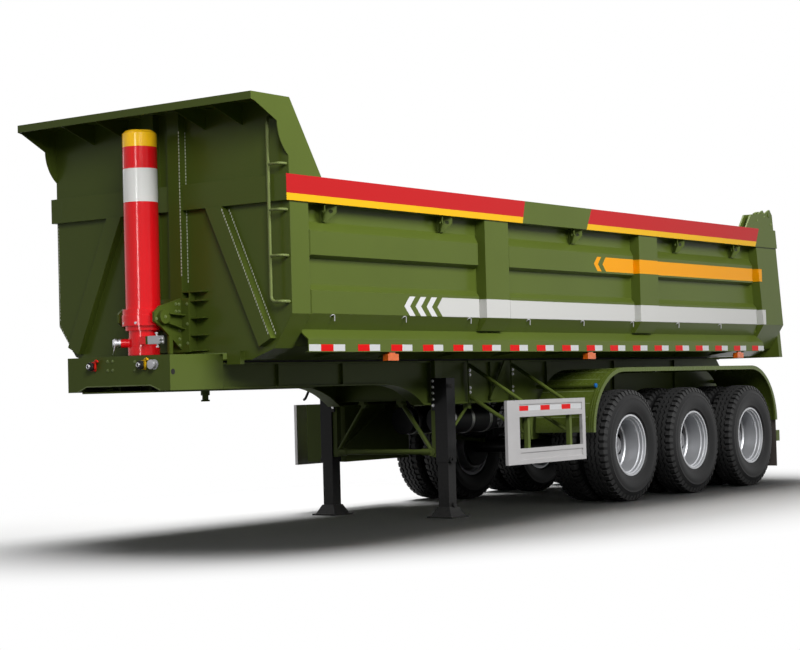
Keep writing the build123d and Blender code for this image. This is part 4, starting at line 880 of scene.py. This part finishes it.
# %% The tyre's casing, and the six pairs
GROUND = TYRE_RADIUS - TREAD_DEPTH
SIDE = (
    # place across the tyre, radius: from the bead over the bulge to the tread's ground
    (0.100, 0.2870), (0.112, 0.2990), (0.121, 0.3050), (0.126, 0.3180), (0.1295, 0.3200), (0.1310, 0.3280),
    (0.1400, 0.3560), (0.1470, 0.3850), (0.1500, 0.4080), (0.1495, 0.4300), (0.1470, 0.4520),
    (0.1478, 0.4545), (0.1462, 0.4570), (0.1420, 0.4740), (0.1340, 0.4900), (0.1240, 0.5080),
    (0.1150, GROUND - 0.004), (0.0700, GROUND - 0.001),
)
OTHER_SIDE = [(-w, r) for w, r in reversed(SIDE)]
INNER_LINER = ((-0.060, 0.300), (0.060, 0.300))
TYRE_HALF = 0.150
TWIN_OFFSET = TWIN_REACH - TYRE_HALF
TWINS = ((-1, 0.3), (1, 0.0))
casing = lathe((*SIDE, *OTHER_SIDE, *INNER_LINER, SIDE[0]), 96, FINISH["tyre"])
for side, sign in SIDES:
    for axle in AXLES:
        node = f"tyres_{side}_{axle}"
        low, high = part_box(node)
        middle = (low + high) / 2
        parts = []
        for twin, turn in TWINS:
            place = Matrix.Translation(middle + Vector((0, sign * twin * TWIN_OFFSET, 0)))
            spin = Matrix.Rotation(turn * PITCH_ANGLE, 4, "Y")
            parts += [(casing, place), (tread, place @ spin)]
        piece = show(f"tyre_pair_{side}_{axle}", parts, f"wheels_{side}_{axle}", SMOOTH)
        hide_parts(node)
print("triangles in a pair of tyres", triangles(piece))

# %% [markdown]
# ## Wheel nuts, hub bolts and valves
# Ten nuts with their stud ends hold each pair of wheels, a ring of small bolts closes the hub, and a bent
# valve stem reaches out through a hand hole. A black ring behind the disc paints the shade seen through its
# hand holes. One nut is modelled and turned about the axle.

# %% Wheel nuts and hub details
FRONT, LEFT, RIGHT = (1, 0, 0), (0, 1, 0), (0, -1, 0)
FACE_OUT = {1: Matrix.Identity(4), -1: Matrix.Rotation(math.pi, 4, "Z")}
NUT_COUNT, NUT_CIRCLE, NUT_RADIUS, NUT_HEIGHT = 10, 0.176, 0.0165, 0.026
CAP_COUNT, CAP_CIRCLE, CAP_RADIUS, CAP_START = 8, 0.082, 0.008, 0.2
DISC_FACE, CAP_FACE = 0.0125, 0.1142
STUD = ((0.0, 0.010), (0.040, 0.010), (0.044, 0.007))
# The black ring behind the disc's hand holes is painted shade.
PAINTED_SHADE_RING = ((-0.022, 0.185), (-0.018, 0.185), (-0.018, 0.245), (-0.022, 0.245), (-0.022, 0.185))
HUB_RING = ((0.115, 0.072), (0.128, 0.070), (0.133, 0.062), (0.133, 0.030), (0.130, 0.026), (0.130, AXIS))
VALVE_LINE = ((0.232, 0.030, 0.0), (0.240, 0.060, 0.0), (0.246, 0.150, 0.0), (0.243, 0.175, 0.0))
NUT_SMOOTH = 35
nut = bolt_mesh([((NUT_CIRCLE, DISC_FACE, 0), LEFT)], NUT_RADIUS, BRIGHT, NUT_HEIGHT)
stud = lathe(STUD, 10, BRIGHT, solid=True)
stud.transform(Matrix.Translation((NUT_CIRCLE, DISC_FACE, 0)))
cap_bolt = bolt_mesh([((CAP_CIRCLE, CAP_FACE, 0), LEFT)], CAP_RADIUS, BRIGHT)
wheel_parts = (
    about_axle(joined("one_nut", (nut, stud)), NUT_COUNT, 0.0, FINISH["rim_silver"]),
    about_axle(cap_bolt, CAP_COUNT, CAP_START, FINISH["rim_silver"]),
    lathe(HUB_RING, 40, FINISH["hub_steel"]),
    tube_mesh(VALVE_LINE, 0.006, BRIGHT, bend=0.02),
    lathe(PAINTED_SHADE_RING, 48, BLACK),
)
for side, sign in SIDES:
    for axle in AXLES:
        low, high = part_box(f"hub_{side}_{axle}")
        rim_low, rim_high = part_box(f"rims_{side}_{axle}")
        middle = Vector(((low.x + high.x) / 2, (rim_low.y + rim_high.y) / 2, (low.z + high.z) / 2))
        place = Matrix.Translation(middle) @ FACE_OUT[sign]
        parts = [(mesh, place) for mesh in wheel_parts]
        show(f"wheel_nuts_{side}_{axle}", parts, f"wheels_{side}_{axle}", NUT_SMOOTH)
print("nuts on a wheel", NUT_COUNT)

# %% [markdown]
# ## Reflective tape
# Red and white strips of reflective tape run along both aprons, and three pairs lie in the top groove of each
# side guard. A strip is a thin box. The row tree repeats it, so the first place, the pitch and the count are
# the only numbers that matter. Tiny prisms in the tape give it a fine bump.

# %% Tape materials
PRISM_SCALE = 260.0
PRISM_BUMP = (0.15, 0.0004)


def tape(name, colour):
    """Reflective tape: glossy over a fine honeycomb of prisms."""
    material, tree, bsdf = start_material(name)
    inputs = {"Vector": object_place(tree), "Scale": PRISM_SCALE}
    cells = add_node(tree, "ShaderNodeTexVoronoi", inputs).outputs["Distance"]
    feed(tree, bsdf, {
        "Base Color": mix_colour(tree, cells, colour, tinted(colour, 0.85)),
        "Roughness": 0.28,
        "Specular IOR Level": PAINT_SPECULAR,
        "Normal": bumped(tree, cells, *PRISM_BUMP),
    })
    return material


TAPE_RED = tape("tape_red", (0.82, 0.004, 0.005, 1))
TAPE_WHITE = tape("tape_white", (0.72, 0.73, 0.74, 1))
print("tapes", TAPE_RED.name, TAPE_WHITE.name)

# %% Tape on the aprons and the side guards
TAPE_THICK = 0.0012
APRON_TAPE = (1.457, 1.509)
GUARD_TAPE = (0.924, 0.968)
GROOVE_DEPTH = 0.010
PAIR_START, PAIR_PITCH, PAIR_COUNT = 3.205, 0.4385, 17
RED_LENGTH, WHITE_LENGTH = 0.150, 0.138
APRON_ROWS = (
    # front end, length of a strip, pitch, count, material
    (3.815, 0.145, 0.30, 2, TAPE_WHITE),
    (3.668, 0.150, 0.30, 1, TAPE_RED),
    (PAIR_START, RED_LENGTH, PAIR_PITCH, PAIR_COUNT, TAPE_RED),
    (PAIR_START - RED_LENGTH, WHITE_LENGTH, PAIR_PITCH, PAIR_COUNT, TAPE_WHITE),
)
GUARD_ROWS = (
    (0.872, 0.157, 0.362, 3, TAPE_RED),
    (0.715, 0.204, 0.362, 3, TAPE_WHITE),
)


def tape_row(face, heights, start, length, pitch, count, material):
    """A row of equal strips on a face that looks along Y; face is the place of that face."""
    out = math.copysign(TAPE_THICK, face)
    strip = box_mesh((-length, face, heights[0]), (0, face + out, heights[1]), material)
    return in_row(strip, count, (start, 0, 0), (-pitch, 0, 0), material)


apron_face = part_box("side_aprons")[1].y
groove_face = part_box("side_guards")[1].y - GROOVE_DEPTH
for side, sign in SIDES:
    strips = [tape_row(sign * apron_face, APRON_TAPE, *numbers) for numbers in APRON_ROWS]
    show(f"apron_tape_{side}", strips, "tipping_body")
    strips = [tape_row(sign * groove_face, GUARD_TAPE, *numbers) for numbers in GUARD_ROWS]
    show(f"guard_tape_{side}", strips, "chassis")
print("tape strips on a side", sum(numbers[3] for numbers in APRON_ROWS + GUARD_ROWS))

# %% [markdown]
# ## Hooks for the cover's ropes
# Small hooks of round bar are welded under the lower rib. One bent line becomes a tube through the tube tree,
# and the row tree sets it along the side.

# %% Rope hooks
HOOK_COUNT, HOOK_PITCH, HOOK_START = 8, 0.94, 3.485
HOOK_LINE = ((0.034, 1.192, 1.722), (0.030, 1.214, 1.738), (0.002, 1.216, 1.738), (-0.004, 1.210, 1.690))
for side, sign in SIDES:
    hook = tube_mesh([(x, sign * y, z) for x, y, z in HOOK_LINE], 0.005, BRIGHT, bend=0.012)
    hooks = in_row(hook, HOOK_COUNT, (HOOK_START, 0, 0), (-HOOK_PITCH, 0, 0), BRIGHT)
    show(f"rope_hooks_{side}", [hooks], "tipping_body", SMOOTH)
print("hooks on a side", HOOK_COUNT)

# %% [markdown]
# ## Bolts
# Bolted joints show where plates meet: at the front box, the cylinder's bracket, the landing legs and the
# stays of the side guards. Each bolt is a point with a direction in an attribute, and the bolt tree puts a
# washer and a six-sided head there. All bolts of one body are one piece. The front box also gets its lower
# lip, a bent tube, and the hole in its side, a flat black disc of painted shade. The front face's bolts, the
# body's bolts and the lip are painted a pale green as painted highlight.

# %% Bolts on the frame
def places(points, way):
    """Marked points that all face one way."""
    return [(Vector(point), way) for point in points]


# The olive made pale: painted highlight on the bolt heads, the front box's lip and the mudguard seams.
HIGHLIGHT_GREEN = paint("edge_highlight_paint", (0.24, 0.30, 0.11, 1), 0.25, 0.0, edge=0)
front_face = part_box("front_box")[1].x
leg_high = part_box("landing_leg_tubes")[1]
LEG_BOLT_Y = 0.569
LEG_BOLT_Z = (1.210, 1.156, 1.102, 1.048, 0.994)
STAY_FACE = 0.557
STAY_BOLT_X = (0.680, -0.0395)
STAY_BOLT_Z = (1.06, 1.10, 1.14, 1.26, 1.30, 1.34)
FRONT_BOLTS = (
    (-0.107, 1.420), (-0.053, 1.420), (-0.107, 1.351), (-0.053, 1.351), (0.182, 1.411), (0.182, 1.345),
)
face_bolts = places([(front_face, y, z) for y, z in FRONT_BOLTS], FRONT)
frame_bolts = places([(leg_high.x, sign * LEG_BOLT_Y, z) for _, sign in SIDES for z in LEG_BOLT_Z], FRONT)
frame_bolts += places([(x, STAY_FACE, z) for x in STAY_BOLT_X for z in STAY_BOLT_Z], LEFT)
frame_bolts += places([(STAY_BOLT_X[1], -STAY_FACE, z) for z in STAY_BOLT_Z], RIGHT)
bolt_sets = (bolt_mesh(frame_bolts, 0.010, BRIGHT), bolt_mesh(face_bolts, 0.009, HIGHLIGHT_GREEN))
show("frame_bolts", bolt_sets, "chassis")
print("frame bolts", len(frame_bolts) + len(face_bolts))

# %% Lip and hole of the front box
LIP_POINTS = ((-0.440, 0.0), (-0.340, 0.040), (0.340, 0.040), (0.440, 0.0))
LIP_BACK, LIP_LIFT = 0.001, 0.003
HOLE_SHADE_DISC = ((0.0, 0.022), (0.001, 0.022))
HOLE_X, HOLE_Z = 4.598, 1.327
box_low_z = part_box("front_box")[0].z
lip_line = [(front_face - LIP_BACK, y, box_low_z + rise + LIP_LIFT) for y, rise in LIP_POINTS]
lip = tube_mesh(lip_line, 0.005, HIGHLIGHT_GREEN, bend=0.02)
# The hole in the box's side is a flat black disc: painted shade.
hole = lathe(HOLE_SHADE_DISC, 20, BLACK, solid=True)
hole_spot = Matrix.Translation((HOLE_X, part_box("front_box")[1].y, HOLE_Z))
show("front_box_edges", (lip, (hole, hole_spot)), "chassis", SMOOTH)
print("lip points", len(LIP_POINTS))

# %% Bolts on the body and the cylinder
CYLINDER_X = 4.340
EAR_FACE = 0.200
EAR_BOLTS = (
    (4.150, 1.856), (4.185, 1.856), (4.150, 1.800), (4.185, 1.800), (4.150, 1.650), (4.150, 1.585),
    (4.150, 1.535),
)
EAR_END_X, EAR_END_Z = 4.404, 1.740
BOSS_FACE, BOSS_Z = 0.235, 1.755
WING_FACE, WING_BOLT_Y = 4.125, 0.262
WING_BOLT_Z = (1.55, 1.70, 1.856)
PLATE_FACE = 1.250
PLATE_BOLTS = ((-3.974, 2.880), (-4.150, 2.930), (-4.321, 2.853))
RING_RADIUS, RING_BOLTS, RING_Z = 0.166, 8, 1.712
EAR_REACH = 0.9
body_bolts = []
for _, sign in SIDES:
    way = (0, sign, 0)
    body_bolts += places([(x, sign * EAR_FACE, z) for x, z in EAR_BOLTS], way)
    body_bolts += places([(WING_FACE, sign * WING_BOLT_Y, z) for z in WING_BOLT_Z], FRONT)
    body_bolts += places([(x, sign * PLATE_FACE, z) for x, z in PLATE_BOLTS], way)
    body_bolts += places([(CYLINDER_X, sign * BOSS_FACE, BOSS_Z)], way)
    body_bolts += places([(EAR_END_X, sign * EAR_FACE, EAR_END_Z)], way)
show("body_bolts", [bolt_mesh(body_bolts, 0.009, HIGHLIGHT_GREEN)], "tipping_body")
ring = []
for i in range(RING_BOLTS):
    angle = math.tau * (i + 0.5) / RING_BOLTS
    way = Vector((math.cos(angle), math.sin(angle), 0))
    if abs(way.y) < EAR_REACH:
        ring.append((Vector((CYLINDER_X, 0, RING_Z)) + RING_RADIUS * way, way))
show("ring_bolts", [bolt_mesh(ring, 0.007, BRIGHT)], "cylinder_cover")
print("body bolts", len(body_bolts), "ring bolts", len(ring))

# %% [markdown]
# ## Couplings on the front face
# Two air couplings and an electric socket face the tractor. Each is turned from a short profile: a coloured
# cover, a black rubber seal and a bright ring. The red and the yellow cover end in a hook. They take the
# place of three plain cylinders and stay inside them.

# %% Air couplings
SMALL_EDGE = 0.002
RED_COVER = paint("coupling_red", (0.75, 0.020, 0.010, 1), 0.3, 0.0, edge=SMALL_EDGE)
YELLOW_COVER = paint("coupling_yellow", (0.85, 0.48, 0.008, 1), 0.3, 0.0, edge=SMALL_EDGE)
SOCKET_GREY = metal("socket_grey", (0.42, 0.42, 0.44, 1), 0.35, 0.6)
FACE_FRONT = Matrix.Rotation(-math.pi / 2, 4, "Z")
COUPLING_Z = 1.385
COUPLINGS = ((-0.260, RED_COVER), (0.270, YELLOW_COVER))
COVER_PLATE = ((0.000, 0.034), (0.014, 0.036), (0.016, 0.030))
SEAL = ((0.016, 0.032), (0.040, 0.034), (0.048, 0.030), (0.048, 0.021), (0.040, 0.019))
BRIGHT_RING = ((0.040, 0.018), (0.062, 0.018), (0.066, 0.014), (0.060, 0.011), (0.040, 0.011))
COVER_HOOK = (
    # distance before the front face, distance from the coupling's middle, height
    (0.012, 0.030, 1.352), (0.026, 0.042, 1.372), (0.026, 0.042, 1.424), (0.026, 0.062, 1.432),
    (0.026, 0.070, 1.416),
)
SOCKET_Y = 0.390
SOCKET = (
    (0.0, 0.038), (0.010, 0.038), (0.012, 0.032), (0.034, 0.033), (0.036, 0.037), (0.050, 0.036),
    (0.058, 0.024),
)
coupling_parts = []
for middle_y, cover in COUPLINGS:
    place = Matrix.Translation((front_face, middle_y, COUPLING_Z)) @ FACE_FRONT
    hook_line = [(front_face + x, middle_y + y, z) for x, y, z in COVER_HOOK]
    coupling_parts += [
        (lathe(COVER_PLATE, 28, cover, solid=True), place),
        (lathe(SEAL, 28, BLACK, solid=True), place),
        (lathe(BRIGHT_RING, 28, BRIGHT), place),
        tube_mesh(hook_line, 0.010, cover, bend=0.012),
    ]
socket_place = Matrix.Translation((front_face, SOCKET_Y, COUPLING_Z)) @ FACE_FRONT
coupling_parts.append((lathe(SOCKET, 32, SOCKET_GREY, solid=True), socket_place))
couplings = show("couplings", coupling_parts, "chassis", SMOOTH)
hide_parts("air_couplings")
print("couplings", triangles(couplings), "triangles")

# %% [markdown]
# ## Fittings on the cylinder's foot
# A quick coupling with a wire bail sits on one port of the cylinder, and a grey valve with small taps on the
# other. The port leans outwards, so its turned profile is placed with a matrix that points along it.

# %% Quick coupling
PORT = Vector((CYLINDER_X + 0.126, -0.126, 1.560))
PORT_WAY = Vector((1, -1, 0)).normalized()
QUICK = (
    (0.000, 0.036), (0.014, 0.036), (0.016, 0.030), (0.026, 0.030), (0.028, 0.038), (0.046, 0.038),
    (0.050, 0.034), (0.060, 0.033), (0.062, 0.024), (0.052, 0.020),
)
BAIL_AT = 0.040
HALF_BAIL = (
    # to the side, forward and out, down
    (0.038, 0.0, 0.0), (0.030, 0.010, 0.060), (0.004, 0.014, 0.086),
)
along_port = Matrix.Translation(PORT) @ PORT_WAY.to_track_quat("Y", "Z").to_matrix().to_4x4()
quick = lathe(QUICK, 32, BRIGHT, solid=True)
side_way = PORT_WAY.cross(Vector((0, 0, 1)))
hang = PORT + BAIL_AT * PORT_WAY
bail_steps = [*HALF_BAIL, *((-aside, out, down) for aside, out, down in reversed(HALF_BAIL))]
bail_line = [hang + aside * side_way + Vector((out, -out, -down)) for aside, out, down in bail_steps]
bail = tube_mesh(bail_line, 0.0035, BRIGHT, bend=0.012)
print("bail points", len(bail_line))

# %% Valve with its taps
VALVE_LOW, VALVE_HIGH = Vector((4.4185, 0.172, 1.5435)), Vector((4.4775, 0.285, 1.6065))
COLLAR_LOW = Vector((4.4190, 0.150, 1.5440))
COLLAR_IN = 0.0005
KNOB = ((0.0, AXIS), (0.0, 0.007), (0.014, 0.007), (0.016, 0.013), (0.026, 0.013), (0.028, AXIS))
collar_high = (VALVE_HIGH.x - COLLAR_IN, VALVE_LOW.y, VALVE_HIGH.z - COLLAR_IN)
middle = (VALVE_LOW + VALVE_HIGH) / 2
upwards = Matrix.Rotation(math.pi / 2, 4, "X")
knob = lathe(KNOB, 14, BRIGHT)
fittings = [
    (quick, along_port),
    bail,
    box_mesh(VALVE_LOW, VALVE_HIGH, SOCKET_GREY),
    box_mesh(COLLAR_LOW, collar_high, FINISH["frame_green"]),
    (knob, Matrix.Translation((middle.x, middle.y + 0.012, VALVE_HIGH.z)) @ upwards),
    (knob, Matrix.Translation((middle.x, middle.y + 0.020, VALVE_LOW.z)) @ upwards.inverted()),
    (knob, Matrix.Translation((middle.x, VALVE_HIGH.y, middle.z + 0.008))),
    (knob, Matrix.Translation((middle.x, VALVE_HIGH.y, middle.z - 0.018))),
]
show("cylinder_fittings", fittings, "cylinder_base", SMOOTH)
print("fittings", len(fittings))

# %% [markdown]
# ## Seams, plugs and small frame pieces
# Rivet seams cross the mudguards, a blue plug closes each front stay, straps hold the air tanks and a crank
# folds away at the right landing leg. These are short strips, discs and one bent tube.

# %% Mudguard seams and stay plugs
ARCH_CENTRE = Vector((-0.985, 0, 0.690))
ARCH_RADIUS = 0.600
SEAM_ANGLES = (14, 27, 40, 56, 70, 84)
SEAM_INNER, SEAM_OUTER = 0.580, 1.150
SEAM_THICK, SEAM_HALF = 0.002, 0.004
PLUG = ((0.0, 0.0225), (0.014, 0.0225), (0.018, 0.017))
PLUG_REACH = (ARCH_RADIUS + 0.0213) * math.sqrt(0.5)
PLUG_BLUE = paint("plug_blue", (0.015, 0.14, 0.42, 1), 0.35, 0.0, edge=SMALL_EDGE)
stay_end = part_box("mudguard_stays")[1].y
plug = lathe(PLUG, 24, PLUG_BLUE, solid=True)
for side, sign in SIDES:
    near, far = sorted((sign * SEAM_INNER, sign * SEAM_OUTER))
    # The seams' pale green is painted highlight along them.
    seam = box_mesh((ARCH_RADIUS, near, -SEAM_HALF), (ARCH_RADIUS + SEAM_THICK, far, SEAM_HALF), HIGHLIGHT_GREEN)
    parts = []
    for angle in SEAM_ANGLES:
        turn = Matrix.Rotation(-math.radians(angle), 4, "Y")
        parts.append((seam, Matrix.Translation(ARCH_CENTRE) @ turn))
    spot = Matrix.Translation(ARCH_CENTRE + Vector((PLUG_REACH, sign * stay_end, PLUG_REACH)))
    parts.append((plug, spot @ FACE_OUT[sign]))
    show(f"mudguard_seams_{side}", parts, "chassis", SMOOTH)
print("seams on a side", len(SEAM_ANGLES))

# %% Tank straps and the crank
TANK_RADIUS, TANK_Y, TANK_Z = 0.130, 0.200, 0.850
STRAP_X = (0.600, 0.300, 0.000)
STRAP_HALF, STRAP_INNER, STRAP_OUTER = 0.020, TANK_RADIUS + 0.0003, TANK_RADIUS + 0.003
STRAP = (
    (-STRAP_HALF, STRAP_INNER), (-STRAP_HALF, STRAP_OUTER), (STRAP_HALF, STRAP_OUTER),
    (STRAP_HALF, STRAP_INNER), (-STRAP_HALF, STRAP_INNER),
)
CRANK_LINE = (
    # along the trailer, out from the right leg, height
    (1.245, 0.020, 1.170), (1.245, -0.060, 1.170), (1.330, -0.075, 1.160), (1.345, -0.110, 1.080),
    (1.330, -0.140, 1.070),
)
EYE = ((0.0, 0.017), (0.003, 0.020), (0.006, 0.014))
EYE_X, EYE_Z = 1.245, 1.163
strap = lathe(STRAP, 48, BRIGHT)
strap_spots = [(x, sign * TANK_Y, TANK_Z) for x in STRAP_X for _, sign in SIDES]
straps = [(strap, Matrix.Translation(spot) @ FACE_FRONT) for spot in strap_spots]
show("tank_straps", straps, "chassis", SMOOTH)
crank_points = [(x, -leg_high.y + y, z) for x, y, z in CRANK_LINE]
crank = tube_mesh(crank_points, 0.012, FINISH["running_gear_black"], bend=0.03, sides=12)
eye = (lathe(EYE, 20, BLACK, solid=True), Matrix.Translation((EYE_X, leg_high.y, EYE_Z)))
show("landing_crank", (crank, eye), "chassis", SMOOTH)
print("straps", len(straps))

# %% [markdown]
# ## Stitch welds on the headboard
# The left brace, the column beside it and the right edge of the headboard are stitch-welded, and the welds
# shine along their edges. The beads are painted pale as painted highlight of that shine. The row tree sets
# short beads along each line: its step is a vector, so a slanting line needs no rotation.

# %% Stitch welds
# Pale paint on the weld beads is painted highlight.
WELD_HIGHLIGHT = paint("weld_painted_highlight", (0.80, 0.82, 0.68, 1), 0.3, 0.0, edge=0)
HEAD_FACE = 4.040
BEAD_PITCH = 0.026
BEAD_LOW, BEAD_HIGH = (-0.002, -0.0035, -0.009), (0.0014, 0.0035, 0.009)
WELD_LINES = (
    # depth before the headboard, then y and z of the upper and the lower end
    (0.065, (0.628, 2.560), (1.072, 1.575)),
    (0.001, (0.648, 2.560), (1.092, 1.575)),
    (0.070, (0.199, 3.200), (0.199, 2.060)),
    (0.001, (0.204, 3.200), (0.204, 2.010)),
    (0.001, (-1.236, 2.600), (-1.240, 1.770)),
    (0.001, (-1.238, 1.740), (-1.080, 1.510)),
)
bead = box_mesh(BEAD_LOW, BEAD_HIGH, WELD_HIGHLIGHT)
welds = []
for depth, top, low in WELD_LINES:
    line_start = Vector((HEAD_FACE + depth, *top))
    line_way = Vector((HEAD_FACE + depth, *low)) - line_start
    count = int(line_way.length / BEAD_PITCH)
    welds.append(in_row(bead, count, line_start, line_way / count, WELD_HIGHLIGHT))
show("brace_welds", welds, "tipping_body")
print("weld lines", len(welds))

# %% [markdown]
# ## Lamps and tool box
# Tail lamps get an amber and a clear field, and the tool box on the right side gets two door seams and two
# latches. All of these are thin boxes on the faces of the solids.

# %% Tail lamp fields
CLEAR = lens("clear_lens", (0.62, 0.62, 0.64, 1))
FIELD_THICK, FIELD_INSET = 0.0015, 0.006
FIELDS = ((0.835, 0.945, FINISH["lamp_amber"]), (0.605, 0.690, CLEAR))
lamp_low, lamp_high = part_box("tail_lamps")
fields = []
for _, sign in SIDES:
    for inner, outer, material in FIELDS:
        near, far = sorted((sign * inner, sign * outer))
        field_low = (lamp_low.x - FIELD_THICK, near, lamp_low.z + FIELD_INSET)
        fields.append(box_mesh(field_low, (lamp_low.x, far, lamp_high.z - FIELD_INSET), material))
show("tail_lamp_fields", fields, "chassis")
print("lamp fields", len(fields))

# %% Latches and seams of the tool box
LATCH_X, LATCH_Z = (0.30, 0.85), (0.900, 0.985)
LATCH_HALF, LATCH_THICK = 0.025, 0.014
DOOR_SEAM_Z = (0.505, 0.995)
DOOR_SEAM_HALF, DOOR_SEAM_THICK, DOOR_INSET = 0.003, 0.0012, 0.02
box_low, box_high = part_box("tool_box")
door_parts = []
for x in LATCH_X:
    latch_low = (x - LATCH_HALF, box_low.y - LATCH_THICK, LATCH_Z[0])
    door_parts.append(box_mesh(latch_low, (x + LATCH_HALF, box_low.y, LATCH_Z[1]), BRIGHT))
for z in DOOR_SEAM_Z:
    seam_low = (box_low.x + DOOR_INSET, box_low.y - DOOR_SEAM_THICK, z - DOOR_SEAM_HALF)
    seam_high = (box_high.x - DOOR_INSET, box_low.y, z + DOOR_SEAM_HALF)
    door_parts.append(box_mesh(seam_low, seam_high, BLACK))
show("tool_box_door", door_parts, "chassis")
print("latches and seams", len(door_parts))
